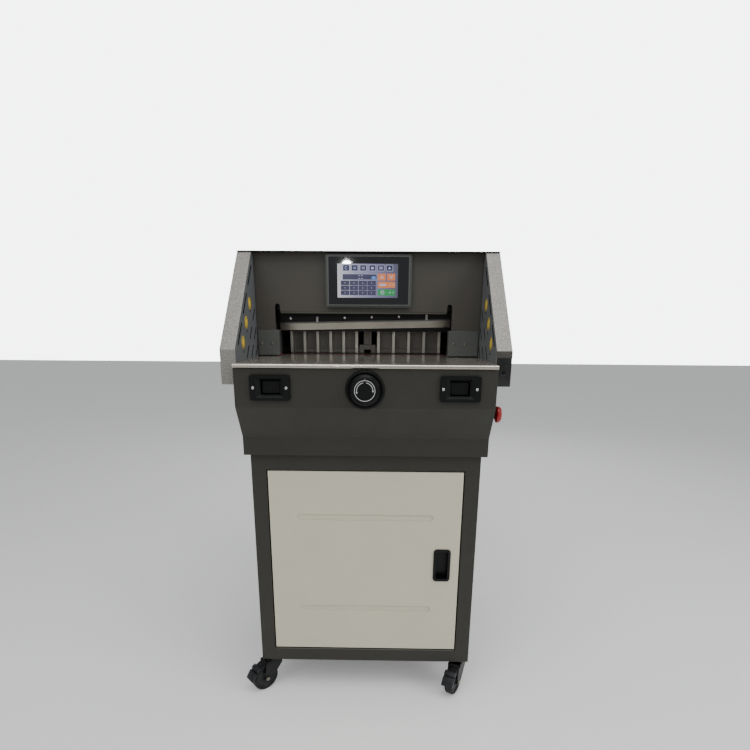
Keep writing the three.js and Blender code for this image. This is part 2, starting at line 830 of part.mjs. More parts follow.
function makeCaster(name, x, y, heading, braked) {
  const caster = new THREE.Group();
  caster.position.set(x, y, 0);
  const plate = block(
    about(0, casterPlateSide),
    about(0, casterPlateSide),
    [casterHeight - casterPlateThickness, casterHeight],
  );
  group.add(caster);
  if (!braked) {
    const bracketTop = casterHeight - casterPlateThickness;
    add(caster, `caster_${name}_bracket`, join(plate, forkLegs(bracketTop)), finishes.blackSteel);
    add(caster, `caster_${name}_wheel`, wheelSolid(), finishes.tyre);
    return;
  }
  const raceway = rod("z", [0, 0, 0], racewayRadius, [racewayBottom, casterHeight - casterPlateThickness]);
  add(caster, `caster_${name}_plate`, join(plate, raceway), finishes.blackSteel);
  const swivel = new THREE.Group();
  swivel.rotation.z = heading;
  caster.add(swivel);
  const pin = rod(
    "x",
    [0, pedalPinReach, axleZ + pedalPinRise],
    pedalPinRadius,
    [-legOuter, legOuter],
    coarseSides,
  );
  const relief = rod(
    "x",
    [0, pedalPinReach, axleZ + pedalPinRise],
    pedalHubRadius + runningGap,
    [-legInner, legInner],
    coarseSides,
  );
  add(swivel, `caster_${name}_fork`, join(cut(forkLegs(crownTop), relief), pin), finishes.blackSteel);
  add(swivel, `caster_${name}_wheel`, wheelSolid(), finishes.tyre);
  add(swivel, `caster_${name}_brake`, pedalSolid(), finishes.blackPlastic);
}

function makeCasters() {
  const x = cabinetSide - casterSideInset;
  const front = cabinetFront + casterFrontInset;
  const rear = cabinetRear - casterRearInset;
  const forward = Math.PI;
  makeCaster("front_left", -x, front, forward - THREE.MathUtils.degToRad(leftHeadingDegrees), true);
  makeCaster("front_right", x, front, forward - THREE.MathUtils.degToRad(rightHeadingDegrees), true);
  makeCaster("rear_left", -x, rear - wheelTrail, 0, false);
  makeCaster("rear_right", x, rear - wheelTrail, 0, false);
}

// Lower housing: a folded shell whose front leads back in two creases
const buttonZ = tableTop - buttonDrop;
const dialZ = tableTop - dialDrop;
const stopY = housingFront + stopSetback;
const stopZ = tableTop - stopDrop;

function housingProfile(inset, top, bottom) {
  const front = housingFront + inset;
  const back = cabinetRear - inset;
  return outline([
    [front, top],
    [front, tableTop - housingFaceDrop + inset * half],
    [front + housingRake, tableTop - housingCreaseDrop + inset * half],
    [front + housingRake, bottom],
    [back, bottom],
    [back, top],
  ].reverse());
}

const buttonHoleWidth = buttonWellWidth + buttonWellWall * 2 + seatGap * 2;
const buttonHoleHeight = buttonWellHeight + buttonWellWall * 2 + seatGap * 2;

function makeHousing() {
  const outer = prism("x", housingProfile(0, tableUnder, cabinetTop), [-housingSide, housingSide]);
  const inside = housingSide - housingWall;
  const hollow = prism(
    "x",
    housingProfile(housingWall, tableUnder + overrun, cabinetTop + housingWall),
    [-inside, inside],
  );
  const lightening = block(
    [-inside + housingFlange, inside - housingFlange],
    [housingFront + housingRake + housingWall + housingFlange, cabinetRear - housingWall - housingFlange],
    [cabinetTop - overrun, cabinetTop + housingWall + overrun],
  );
  const through = [housingFront - overrun, housingFront + housingWall + overrun];
  const rearWay = rearHalf + runningGap;
  const rearOpening = block(
    [-rearWay, rearWay],
    [cabinetRear - housingWall - overrun, cabinetRear + overrun],
    [tableTop - rearFlangeDrop - runningGap, tableUnder + overrun],
  );
  let housing = cut(outer, hollow, lightening, rearOpening);
  for (const { sign } of sides) {
    const hole = [
      about(sign * buttonSpacing * half, buttonHoleWidth),
      through,
      about(buttonZ, buttonHoleHeight),
    ];
    housing = cut(housing, block(...hole));
  }
  housing = cut(
    housing,
    rod("y", [0, 0, dialZ], dialShaftRadius + runningGap, through, coarseSides),
    rod(
      "x",
      [0, stopY, stopZ],
      stopStemRadius + runningGap,
      [housingSide - housingWall - overrun, housingSide + overrun],
      coarseSides,
    ),
  );
  add(group, "front_housing", housing, finishes.darkGrey);
}

// Cut buttons, each at the bottom of a funnel-shaped guard
function funnel([x, z], front, back) {
  const mouth = [buttonMouthWidth * half, buttonMouthHeight * half];
  const well = [buttonWellWidth * half, buttonWellHeight * half];
  const corners = [
    [-1, -1],
    [1, -1],
    [1, 1],
    [-1, 1],
  ];
  const ring = ([a, b], y) => corners.map(([i, k]) => [x + i * a, y, z + k * b]);
  const points = [...ring(mouth, front), ...ring(well, back)].flat();
  const geometry = new THREE.BufferGeometry();
  geometry.setAttribute("position", new THREE.Float32BufferAttribute(points, 3));
  const walls = corners.flatMap((_, i) => {
    const next = (i + 1) % corners.length;
    const [behind, behindNext] = [i + corners.length, next + corners.length];
    return [i, behind, behindNext, i, behindNext, next];
  });
  geometry.setIndex([0, 1, 2, 0, 2, 3, 4, 6, 5, 4, 7, 6, ...walls]);
  return solidOf(geometry);
}

function makeButtons() {
  for (const { name, sign } of sides) {
    const x = sign * buttonSpacing * half;
    const seat = housingFront - seatGap;
    const face = seat - buttonPlateStandOut;
    const wellBack = housingFront + buttonWellDepth;
    const plate = roundedOutline(
      about(x, buttonPlateWidth),
      about(buttonZ, buttonPlateHeight),
      buttonPlateCorner,
    );
    const well = block(
      about(x, buttonWellWidth + buttonWellWall * 2),
      [seat - buttonPlateStandOut * half, wellBack + buttonWellWall],
      about(buttonZ, buttonWellHeight + buttonWellWall * 2),
    );
    const wellHollow = block(
      about(x, buttonWellWidth),
      [face - overrun, wellBack],
      about(buttonZ, buttonWellHeight),
    );
    const stemHole = rod(
      "y",
      [x, 0, buttonZ],
      buttonStemRadius + seatGap,
      [wellBack - overrun, wellBack + buttonWellWall + overrun],
      coarseSides,
    );
    const guard = cut(
      join(prism("y", plate, [face, seat]), well),
      wellHollow,
      funnel([x, buttonZ], face - runningGap, seat),
      stemHole,
    );
    add(group, `button_housing_${name}`, guard, finishes.blackPlastic);

    const cap = roundedOutline(about(x, buttonWidth), about(buttonZ, buttonHeight), buttonCorner);
    const capFront = housingFront + buttonRecess;
    const capBack = capFront + buttonThickness;
    const button = join(
      prism("y", cap, [capFront, capBack]),
      rod(
        "y",
        [x, 0, buttonZ],
        buttonStemRadius,
        [capBack - buttonThickness * half, wellBack + buttonWellWall],
        coarseSides,
      ),
    );
    add(group, `cut_button_${name}`, button, finishes.blackPlastic);
  }
}

function makeDial() {
  const seat = housingFront - seatGap;
  const face = housingFront - dialBezelStandOut;
  const bezel = turned("y", [0, 0, dialZ], [
    [dialShaftRadius + seatGap, seat],
    [dialShaftRadius + seatGap, face + dialWellDepth],
    [dialKnobRadius + runningGap, face + dialWellDepth],
    [dialKnobRadius + runningGap, face],
    [dialBezelRadius - dialWellDepth * half, face],
    [dialBezelRadius, face + dialWellDepth * half],
    [dialBezelRadius, seat],
    [dialShaftRadius + seatGap, seat],
  ]);
  add(group, "dial_bezel", bezel, finishes.blackPlastic);

  const knobFront = housingFront - dialKnobStandOut;
  const knobBack = face + dialWellDepth - runningGap;
  const knob = turned("y", [0, 0, dialZ], [
    [0, knobFront],
    [dialFaceRadius, knobFront],
    [dialKnobRadius, knobFront + dialKnobRadius - dialFaceRadius],
    [dialKnobRadius, knobBack],
    [dialShaftRadius, knobBack],
    [dialShaftRadius, housingFront + dialShaftLength],
    [0, housingFront + dialShaftLength],
  ]);
  add(group, "dial_knob", knob, finishes.blackPlastic);
}

function makeStop() {
  const seat = housingSide + seatGap;
  const collarTop = seat + stopCollarHeight;
  const collar = cut(
    rod("x", [0, stopY, stopZ], stopCollarRadius, [seat, collarTop]),
    rod("x", [0, stopY, stopZ], stopStemRadius + seatGap, [seat - overrun, collarTop + overrun], coarseSides),
  );
  add(group, "estop_collar", collar, finishes.blackPlastic);

  const headBack = collarTop + stopTravel + runningGap;
  const stemTop = headBack - seatGap;
  const headMiddle = headBack + stopHeadHeight * half;
  const stem = join(
    rod("x", [0, stopY, stopZ], stopStemRadius, [stemTop - stopStemLength, stemTop], coarseSides),
    rod("x", [0, stopY, stopZ], stopSpigotRadius, [stemTop - stopTravel, headMiddle], coarseSides),
  );
  add(group, "estop_stem", stem, finishes.blackPlastic);

  const bore = stopSpigotRadius + seatGap;
  const crown = headBack + stopHeadHeight;
  const head = turned("x", [0, stopY, stopZ], [
    [bore, headBack],
    [stopHeadRadius * 0.6, headBack],
    [stopHeadRadius, headBack + stopHeadHeight * 0.3],
    [stopHeadRadius, headBack + stopHeadHeight * 0.6],
    [stopHeadRadius * 0.85, headBack + stopHeadHeight * 0.9],
    [stopHeadRadius * 0.6, crown],
    [0, crown],
    [0, headMiddle + seatGap],
    [bore, headMiddle + seatGap],
    [bore, headBack],
  ]);
  add(group, "estop_head", head, finishes.redPlastic);
}

// Table, bed and cutting stick
const stickRear = cutPlane + stickBehindCut;
const stickFront = stickRear - stickSide;
const bedFront = tableFullDepth;
const bedRear = bedFront + bedDepth;
const bedSide = housingSide - housingWall - seatGap;
const uprightInner = bedSide - uprightThickness;
const uprightShelfInner = bedSide - uprightOuterThickness;
const rearHalf = uprightInner - runningGap;
const uprightFront = headSetback + beamThickness + beamSetback();
const yokeFront = uprightFront + runningGap * 2;
const yokeRear = yokeFront + yokeThickness;
const yokeMiddle = (yokeFront + yokeRear) * half;
const bladeFront = cutPlane - bladeThickness;
const carrierFront = yokeRear + runningGap * 2;
const carrierRear = bladeFront - seatGap;
const armLeftInner = cutLeft - cutSideways - yokeArmClearance;
const armLeftOuter = armLeftInner - yokeArmWidth;
const armRightInner = cutRight + yokeArmClearance + yokeArmWidth;
const armRightOuter = armRightInner + yokeArmWidth;
const lowerBarTop = tableTop - yokeLowerBarDrop;
const lowerBarBottom = lowerBarTop - yokeLowerBarHeight;
const nutZ = (lowerBarTop + lowerBarBottom) * half;
const nutX = (armLeftInner + armRightInner) * half;
const screwBaseX = nutX + (nutZ - cabinetTop) * Math.tan(strokeAngle);

// Room for the display behind the head's front panel
function beamSetback() {
  return displayBackDepth + displayCableSpace + headSheet + runningGap * 2;
}

function makeTable() {
  const edge = roundedOutline([0, tableNoseRadius * 4], [tableUnder, tableTop], tableNoseRadius);
  const halfWidth = wingInner - seatGap * 2;
  const nose = prism("x", edge, [-halfWidth, halfWidth]);
  const slab = block([-halfWidth, halfWidth], [tableNoseRadius * 2, tableFullDepth], [tableUnder, tableTop]);
  const tongue = block(
    [armLeftInner + cutSideways + runningGap, armRightInner - runningGap],
    [tableFullDepth - overrun, stickFront - seatGap],
    [tableUnder, tableTop],
  );
  add(group, "front_table", join(nose, slab, tongue), finishes.polished);

  const rearFront = stickRear + seatGap;
  const flangeFront = rearTableRear - rearFlangeThickness;
  const plate = block([-rearHalf, rearHalf], [rearFront, rearTableRear], [tableUnder, tableTop]);
  const flange = block(
    [-rearHalf, rearHalf],
    [flangeFront, rearTableRear],
    [tableTop - rearFlangeDrop, tableTop - tableThickness * half],
  );
  const rim = (sign) =>
    block(
      sign < 0 ? [-rearHalf, -rearHalf + rearRimThickness] : [rearHalf - rearRimThickness, rearHalf],
      [bedRear + runningGap, rearTableRear - rearFlangeThickness * half],
      [tableTop - rearRimDrop - tableThickness, tableTop - tableThickness * half],
    );
  const slotFront = gaugePlateFront - gaugeRestGap - runningGap * 2;
  const slot = block(
    about(gaugeSlotOffset, gaugeSlotWidth),
    [slotFront, flangeFront - runningGap * 2],
    [tableUnder - overrun, tableTop + overrun],
  );
  const bearing = rod(
    "y",
    [gaugeSlotOffset, 0, gaugeScrewZ],
    gaugeScrewRadius + seatGap,
    [flangeFront - overrun, rearTableRear + overrun],
    coarseSides,
  );
  const rearTable = cut(join(plate, flange, rim(-1), rim(1)), slot, bearing);
  add(group, "rear_table", rearTable, finishes.steel);

  const stick = block([-rearHalf, rearHalf], [stickFront, stickRear], [tableTop - stickSide, tableTop]);
  add(group, "cutting_stick", stick, finishes.stickRed);
}

function makeBed() {
  const bedBottom = tableUnder - bedThickness;
  const plate = block([-bedSide, bedSide], [bedFront, bedRear], [bedBottom, tableUnder]);
  const leg = (sign) =>
    block(
      sign < 0 ? [-bedSide, -bedSide + bedLegThickness] : [bedSide - bedLegThickness, bedSide],
      [bedFront, bedRear],
      [cabinetTop + housingWall, bedBottom + overrun],
    );
  const groove = block(
    [-bedSide - overrun, bedSide + overrun],
    [stickFront - seatGap, stickRear + seatGap],
    [tableTop - stickSide - seatGap, tableUnder + overrun],
  );
  const armSlot = (from, to) =>
    block(
      [from - runningGap * 2, to + cutSideways + runningGap * 2],
      [yokeFront - runningGap * 2, yokeRear + runningGap * 2],
      [bedBottom - overrun, tableUnder + overrun],
    );
  const neckSlot = block(
    about(gaugeSlotOffset, gaugeSlotWidth),
    [gaugePlateFront - gaugeRestGap - runningGap * 2, bedRear + overrun],
    [bedBottom - overrun, tableUnder + overrun],
  );
  const bed = cut(
    join(plate, leg(-1), leg(1)),
    groove,
    armSlot(armLeftOuter, armLeftInner),
    armSlot(armRightInner, armRightOuter),
    neckSlot,
  );
  add(group, "machine_bed", bed, finishes.castGrey);
}

// Portal: two uprights, a slotted guide beam in front and a bridge across the top
const portalTop = tableTop + portalHeight;
const shoeZ = tableTop + yokeBottom + shoeRise;

function makePortal() {
  const rear = uprightFront + uprightDepth;
  for (const { name, sign } of sides) {
    const [outer, shelf, inner] = [bedSide, uprightShelfInner, uprightInner].map((x) => sign * x);
    const plan = [
      [outer, uprightFront],
      [outer, rear],
      [inner, rear],
      [inner, uprightFront + uprightShelf],
      [shelf, uprightFront + uprightShelf],
      [shelf, uprightFront],
    ];
    const shape = outline(sign > 0 ? plan : plan.reverse());
    const notch = block(
      [-bedSide - overrun, bedSide + overrun],
      [stickFront - seatGap, stickRear + seatGap],
      [tableUnder - overrun, tableTop + runningGap],
    );
    const upright = cut(prism("z", shape, [tableUnder, portalTop]), notch);
    add(group, `side_frame_${name}`, upright, finishes.castGrey);
  }

  const beamFront = uprightFront - beamThickness;
  let beam = block([-bedSide, bedSide], [beamFront, uprightFront], [tableTop + beamBottom, tableTop + beamTop]);
  const strokeLength = Math.hypot(cutSideways, strokeDown);
  for (const { sign } of sides) {
    const shoeX = nutX + sign * shoeSpacing * half;
    const middle = [shoeX + cutSideways * half, shoeZ - strokeDown * half];
    const width = (shoeRadius + shoeGap) * 2;
    const slot = slotOutline(middle, strokeLength + width, width, strokeAngle - Math.PI * half);
    beam = cut(beam, prism("y", slot, [beamFront - overrun, uprightFront + overrun], slotSteps * 2));
  }
  add(group, "guide_beam", beam, finishes.castGrey);

  const bridge = cut(
    block([-bedSide, bedSide], about(clampMiddle, bridgeDepth), [portalTop, portalTop + bridgeThickness]),
    rod(
      "z",
      [cuttingOffset, clampMiddle, 0],
      clampScrewRadius + seatGap,
      [portalTop - overrun, portalTop + bridgeThickness + overrun],
      coarseSides,
    ),
  );
  add(group, "top_bridge", bridge, finishes.castGrey);
}

// Knife: a yoke that slides in the beam's slots, with the carrier pivoted on it
const knifeGroup = new THREE.Group();

function makeYoke() {
  const bar = (bottom, top) =>
    block([armLeftOuter, armRightOuter], [yokeFront, yokeRear], [bottom, top]);
  const arm = (from, to) => block([from, to], [yokeFront, yokeRear], [lowerBarBottom, tableTop + yokeBottom + overrun]);
  const nutCentre = [nutX, yokeMiddle, nutZ];
  const nutReach = yokeLowerBarHeight * half;
  let yoke = join(
    bar(tableTop + yokeBottom, tableTop + yokeTop),
    bar(lowerBarBottom, lowerBarTop),
    arm(armLeftOuter, armLeftInner),
    arm(armRightInner, armRightOuter),
    inclined(rodUp(nutRadius, [-nutReach, nutReach], roundSides), nutCentre),
  );
  yoke = cut(yoke, inclined(rodUp(knifeScrewRadius + seatGap, [-nutReach * 3, nutReach * 3]), nutCentre));
  const beamFront = uprightFront - beamThickness;
  for (const { sign } of sides) {
    const shoeX = nutX + sign * shoeSpacing * half;
    yoke = join(yoke, rod("y", [shoeX, 0, shoeZ], shoeRadius, [beamFront, yokeFront + yokeThickness * half]));
  }
  yoke = join(
    yoke,
    rod("y", [pivotX, 0, pivotZ], pivotRadius, [yokeRear - yokeThickness * half, carrierRear - runningGap]),
    rod(
      "y",
      [pivotX + tiltPinSpacing, 0, pivotZ],
      tiltPinRadius,
      [yokeRear - yokeThickness * half, carrierRear - runningGap],
      coarseSides,
    ),
  );
  add(group, "knife_yoke", yoke, finishes.blackSteel);
}

// A rod along z about the origin, and a solid leaned along the knife's stroke at a point
function rodUp(radius, limits, sideCount = coarseSides) {
  return rod("z", [0, 0, 0], radius, limits, sideCount);
}

function inclined(solid, [x, y, z]) {
  return solid.rotate([0, -THREE.MathUtils.radToDeg(strokeAngle), 0]).translate([x, y, z]);
}

function makeKnife() {
  // Built level about the pivot, then raised at its right end by the rest tilt
  knifeGroup.position.set(pivotX, 0, pivotZ);
  knifeGroup.rotation.y = -bladeTilt;
  group.add(knifeGroup);

  const left = -pivotInset;
  const right = left + bladeLength;
  const edgeZ = -pivotRise;
  const carrierBottom = edgeZ + carrierLip;
  const fillet = carrierHeight * carrierFilletShare;
  const body = roundedOutline([left, right], [carrierBottom, carrierBottom + carrierHeight], fillet);
  const bladeTop = edgeZ + bladeHeight;
  const tiltTravel = tiltPinSpacing * Math.sin(bladeTilt);
  const tiltSlotWidth = (tiltPinRadius + shoeGap) * 2;
  const tiltSlot = slotOutline(
    [tiltPinSpacing, -tiltTravel * half],
    tiltTravel + tiltSlotWidth + shoeGap * 2,
    tiltSlotWidth,
    Math.PI * half,
  );
  const through = [carrierFront - overrun, carrierRear + overrun];
  const carrier = cut(
    prism("y", body, [carrierFront, carrierRear]),
    rod("y", [0, 0, 0], pivotRadius + shoeGap, through),
    prism("y", tiltSlot, through, slotSteps),
  );
  add(knifeGroup, "knife_carrier", carrier, finishes.blackSteel);

  const section = outline([
    [cutPlane, edgeZ],
    [cutPlane, bladeTop],
    [bladeFront, bladeTop],
    [bladeFront, edgeZ + bladeBevelHeight],
    [cutPlane - bladeEdgeWidth, edgeZ],
  ]);
  add(knifeGroup, "knife_blade", prism("x", section, [left, right]), finishes.bladeSteel);
}

// Knife drive: a leaned gear motor under the cabinet's top turns the yoke's screw
function makeKnifeDrive() {
  const nutCentre = [nutX, yokeMiddle, nutZ];
  const reachDown = (nutZ - cabinetTop) / Math.cos(strokeAngle);
  const gearTop = -reachDown + knifeGearRise;
  const screw = inclined(
    rodUp(knifeScrewRadius, [gearTop + seatGap, knifeScrewRise + yokeLowerBarHeight * half]),
    nutCentre,
  );
  add(group, "knife_screw", screw, finishes.steel);

  const flangeTop = gearTop - knifeGearLength;
  const motorBottom = flangeTop - knifeMotorFlange - knifeMotorLength;
  const capTop = motorBottom + knifeMotorCapLength;
  const profile = [
    [0, motorBottom],
    [knifeMotorRadius - knifeMotorRibDepth * 2, motorBottom],
    [knifeMotorRadius - knifeMotorRibDepth, motorBottom + knifeMotorRibDepth],
    [knifeMotorRadius - knifeMotorRibDepth, capTop],
  ];
  const ribShares = [
    [0, 0.25],
    [1, 0.4],
    [1, 0.7],
    [0, 0.85],
  ];
  const ribStretch = flangeTop - knifeMotorFlange - capTop;
  const pitch = ribStretch / knifeMotorRibs;
  for (let i = 0; i < knifeMotorRibs; i += 1) {
    const base = capTop + i * pitch;
    for (const [rise, place] of ribShares) {
      profile.push([knifeMotorRadius - knifeMotorRibDepth * (1 - rise), base + pitch * place]);
    }
  }
  profile.push(
    [knifeMotorRadius - knifeMotorRibDepth, flangeTop - knifeMotorFlange],
    [knifeMotorRadius + knifeMotorRibDepth, flangeTop - knifeMotorFlange],
    [knifeMotorRadius + knifeMotorRibDepth, flangeTop],
    [knifeGearRadius, flangeTop],
    [knifeGearRadius, gearTop],
    [0, gearTop],
  );
  const motorBody = turned("z", [0, 0, 0], profile, wheelSides);
  const mountTop = cabinetTop + seatGap + knifeMountThickness;
  const mount = block(
    about(screwBaseX, knifeMountWidth),
    about(yokeMiddle, knifeMountDepth),
    [cabinetTop + seatGap, mountTop],
  );
  const motor = join(inclined(motorBody, nutCentre), mount);
  add(group, "knife_motor", motor, finishes.castGrey);
}

// Clamp: a heavy beam behind the knife, drawn down by a screw in its middle
const clampMiddle = (clampFront + clampRear) * half;
const clampBottom = tableTop + throatHeight;
const clampTop = clampBottom + clampHeight;

function makeClamp() {
  const side = uprightInner - clampSideGap;
  const chamfer = clampFootThickness;
  const section = outline([
    [clampFront, clampBottom],
    [clampRear, clampBottom],
    [clampRear, clampTop - chamfer],
    [clampRear - chamfer, clampTop],
    [clampFront + chamfer, clampTop],
    [clampFront, clampTop - chamfer],
  ]);
  const bore = rod(
    "z",
    [cuttingOffset, clampMiddle, 0],
    clampScrewRadius + seatGap,
    [clampTop - clampScrewEngagement - clampBoreExtra, clampTop + overrun],
    coarseSides,
  );
  const footGroove = block(
    [-side - overrun, side + overrun],
    [clampFront - overrun, clampFront + clampFootSink],
    [clampBottom + clampFootThickness, clampBottom + clampFootThickness + clampFootSink],
  );
  const beam = cut(prism("x", section, [-side, side]), bore, footGroove);
  add(group, "clamp_beam", beam, finishes.blackSteel);

  const gearBottom = portalTop + bridgeThickness;
  const gearTop = gearBottom + clampGearHeight;
  const screwTop = gearTop - seatGap * 2;
  const screw = rod(
    "z",
    [cuttingOffset, clampMiddle, 0],
    clampScrewRadius,
    [clampTop - clampScrewEngagement, screwTop],
    coarseSides,
  );
  add(group, "clamp_screw", screw, finishes.steel);

  const motorY = clampMiddle + bridgeDepth * half + clampMotorGap + clampMotorRadius;
  const gearCase = block(
    about(cuttingOffset, clampGearWidth),
    [clampMiddle - bridgeDepth * half, motorY + clampMotorRadius * half],
    [gearBottom, gearTop],
  );
  const motor = rod(
    "z",
    [cuttingOffset, motorY, 0],
    clampMotorRadius,
    [gearBottom - clampMotorLength, gearBottom + clampGearHeight * half],
    roundSides,
  );
  const screwHole = rod(
    "z",
    [cuttingOffset, clampMiddle, 0],
    clampScrewRadius + seatGap,
    [gearBottom - overrun, gearTop - seatGap],
    coarseSides,
  );
  add(group, "clamp_motor", cut(join(gearCase, motor), screwHole), finishes.castGrey);
}

// Back gauge: a comb that stands on a carriage, driven by a screw under the table
const gaugeScrewZ = tableTop - gaugeScrewDrop;
const gaugeBottom = tableTop + gaugeLift;
const carriageFront = gaugePlateFront;
const carriageRear = carriageFront + carriageDepth;

function makeGauge() {
  const left = cuttingOffset - gaugeWidth * half;
  const right = cuttingOffset + gaugeWidth * half;
  const plate = block([left, right], [gaugePlateFront, gaugePlateRear], [gaugeBottom, gaugeBottom + gaugeHeight]);
  const rail = block(
    [left, right],
    [gaugeFront + gaugeRibDepth * half, gaugePlateFront + gaugePlateThickness * half],
    [gaugeBottom, gaugeBottom + gaugeRailHeight],
  );
  const blockLimits = about(gaugeSlotOffset, gaugeBlockWidth);
  const centreBlock = block(blockLimits, [gaugeFront, gaugePlateFront + gaugePlateThickness * half], [gaugeBottom, gaugeBottom + gaugeBlockHeight]);
  const column = block(
    about(gaugeSlotOffset, gaugeBlockWidth * half),
    [gaugeFront + gaugeRibDepth * half, gaugePlateFront + gaugePlateThickness * half],
    [gaugeBottom, gaugeBottom + gaugeHeight],
  );
  let comb = join(plate, rail, centreBlock, column);
  const rib = (x) =>
    block(
      about(x, gaugeRibWidth),
      [gaugeFront, gaugePlateFront + gaugePlateThickness * half],
      [gaugeBottom, gaugeBottom + gaugeHeight],
    );
  const spread = (count, from, to) => {
    for (let i = 0; i < count; i += 1) {
      comb = join(comb, rib(from + ((to - from) * i) / (count - 1)));
    }
  };
  const ribInset = gaugeRibWidth * half;
  spread(gaugeLeftRibs, left + ribInset, blockLimits[0] - gaugeBlockGap);
  spread(gaugeRightRibs, blockLimits[1] + gaugeBlockGap, right - ribInset);
  const notch = block(
    about(gaugeSlotOffset, gaugeNotchWidth),
    [gaugeFront - overrun, gaugePlateFront - runningGap],
    [gaugeBottom - overrun, gaugeBottom + gaugeNotchHeight],
  );
  add(group, "back_gauge_comb", cut(comb, notch), finishes.steel);

  const neck = block(
    about(gaugeSlotOffset, carriageNeckWidth),
    [carriageFront, carriageRear],
    [gaugeScrewZ, gaugeBottom - seatGap],
  );
  const nut = block(
    about(gaugeSlotOffset, carriageWidth),
    [carriageFront, carriageRear],
    about(gaugeScrewZ, carriageHeight),
  );
  const bore = rod(
    "y",
    [gaugeSlotOffset, 0, gaugeScrewZ],
    gaugeScrewRadius + seatGap,
    [carriageFront - overrun, carriageRear + overrun],
    coarseSides,
  );
  add(group, "gauge_carriage", cut(join(neck, nut), bore), finishes.steel);

  const plateRear = carriageFront - gaugeRestGap - gaugePlateGap;
  const plateFront = plateRear - gaugeMotorPlate;
  const screw = rod(
    "y",
    [gaugeSlotOffset, 0, gaugeScrewZ],
    gaugeScrewRadius,
    [plateFront + seatGap, rearTableRear],
    coarseSides,
  );
  add(group, "gauge_screw", screw, finishes.steel);

  const can = roundedOutline(
    about(gaugeSlotOffset, gaugeMotorSide),
    about(gaugeScrewZ, gaugeMotorSide),
    gaugeMotorCorner,
  );
  const bracket = block(
    about(gaugeSlotOffset, gaugeMotorPlateWidth),
    [plateFront, plateRear],
    [gaugeScrewZ - gaugeMotorSide * half, tableUnder - bedThickness - seatGap],
  );
  const screwHole = rod(
    "y",
    [gaugeSlotOffset, 0, gaugeScrewZ],
    gaugeScrewRadius + seatGap,
    [plateFront, plateRear + overrun],
    coarseSides,
  );
  const motor = cut(
    join(prism("y", can, [plateFront - gaugeMotorLength, plateFront + gaugeMotorPlate * half]), bracket),
    screwHole,
  );
  add(group, "gauge_motor", motor, finishes.blackSteel);
}

// Wings: a channel-shaped cover, closed on the inside by a slotted plate
const slopeFoot = [wingSetback, tableTop + wingFrontRise];
const slopeHead = [wingCrestSetback, tableTop + wingCrestRise];
const slopeAngle = Math.atan2(slopeHead[1] - slopeFoot[1], slopeHead[0] - slopeFoot[0]);
const wingTop = headTop - headSheet - seatGap;
const wingBottom = tableTop - wingDrop;
const wingRear = headRear;

// The wing's side view, drawn in from its edges by an inset
function wingProfile(inset) {
  const alongFront = inset * Math.tan((Math.PI * half - slopeAngle) * half);
  const crestLift = wingTop - slopeHead[1];
  const crestY = slopeHead[0] + crestLift / Math.tan(slopeAngle);
  const alongTop = inset * Math.tan(slopeAngle * half);
  return outline([
    [wingRear - inset, wingBottom + inset],
    [wingRear - inset, wingTop - inset],
    [crestY + alongTop, wingTop - inset],
    [wingSetback + inset, slopeFoot[1] - alongFront],
    [wingSetback + inset, wingBottom + inset],
  ]);
}

// A place on the wing, given by distances up the slope and square in from it
function onSlope(along, inwards) {
  const [y, z] = slopeFoot;
  return [
    y + along * Math.cos(slopeAngle) + inwards * Math.sin(slopeAngle),
    z + along * Math.sin(slopeAngle) - inwards * Math.cos(slopeAngle),
  ];
}

function makeWings() {
  const limits = (sign, from, to) => (sign > 0 ? [from, to] : [-to, -from]);
  for (const { name, sign } of sides) {
    const cover = cut(
      prism("x", wingProfile(0), limits(sign, wingInner, wingOuter)),
      prism("x", wingProfile(wingWall), limits(sign, wingInner - overrun, wingOuter - wingWall)),
    );
    add(group, `wing_cover_${name}`, cover, finishes.hammertone);

    const plateLimits = limits(sign, wingInner, wingInner + wingPlateThickness);
    const through = limits(sign, wingInner - overrun, wingInner + wingPlateThickness + overrun);
    let plate = prism("x", wingProfile(wingWall + seatGap), plateLimits);
    for (let i = 0; i < longSlotCount; i += 1) {
      const place = onSlope(longSlotFirst + i * longSlotPitch, longSlotInset);
      const slot = slotOutline(place, longSlotLength, longSlotWidth, slopeAngle);
      plate = cut(plate, prism("x", slot, through, slotSteps));
    }
    for (let row = 0; row < shortSlotRows; row += 1) {
      for (let i = 0; i < shortSlotCount - row; i += 1) {
        const along = shortSlotFirst + (i + row * half) * shortSlotPitch;
        const place = onSlope(along, shortSlotInset + row * shortSlotRowPitch);
        const slot = slotOutline(place, shortSlotLength, shortSlotWidth, slopeAngle);
        plate = cut(plate, prism("x", slot, through, slotSteps));
      }
    }
    for (let i = 0; i < beamHoleCount; i += 1) {
      const [y, z] = onSlope(beamHoleFirst + i * beamHolePitch, beamHoleInset);
      plate = cut(plate, rod("x", [0, y, z], beamHoleRadius, through, coarseSides));
    }
    add(group, `wing_plate_${name}`, plate, finishes.wingGrey);

    const barBack = wingInner + wingPlateThickness + seatGap + curtainLensHeight;
    const barLength = beamHolePitch * (beamHoleCount - half);
    const middle = onSlope(beamHoleFirst + beamHolePitch * (beamHoleCount - 1) * half, beamHoleInset);
    let bar = prism(
      "x",
      slotOutline(middle, barLength + curtainEndCap * 2, curtainWidth, slopeAngle),
      limits(sign, barBack, barBack + curtainDepth),
    );
    for (let i = 0; i < beamHoleCount; i += 1) {
      const [y, z] = onSlope(beamHoleFirst + i * beamHolePitch, beamHoleInset);
      const lens = limits(sign, barBack - curtainLensHeight, barBack + curtainLensHeight);
      bar = join(bar, rod("x", [0, y, z], curtainLensRadius, lens, coarseSides));
    }
    add(group, `light_curtain_${name}`, bar, finishes.aluminium);
  }
}

// Head: front panel with the throat cut-out, and the top sheet over both wings
const throatLeft = cutLeft - throatLeftMargin;
const throatRight = cutRight + throatRightMargin;

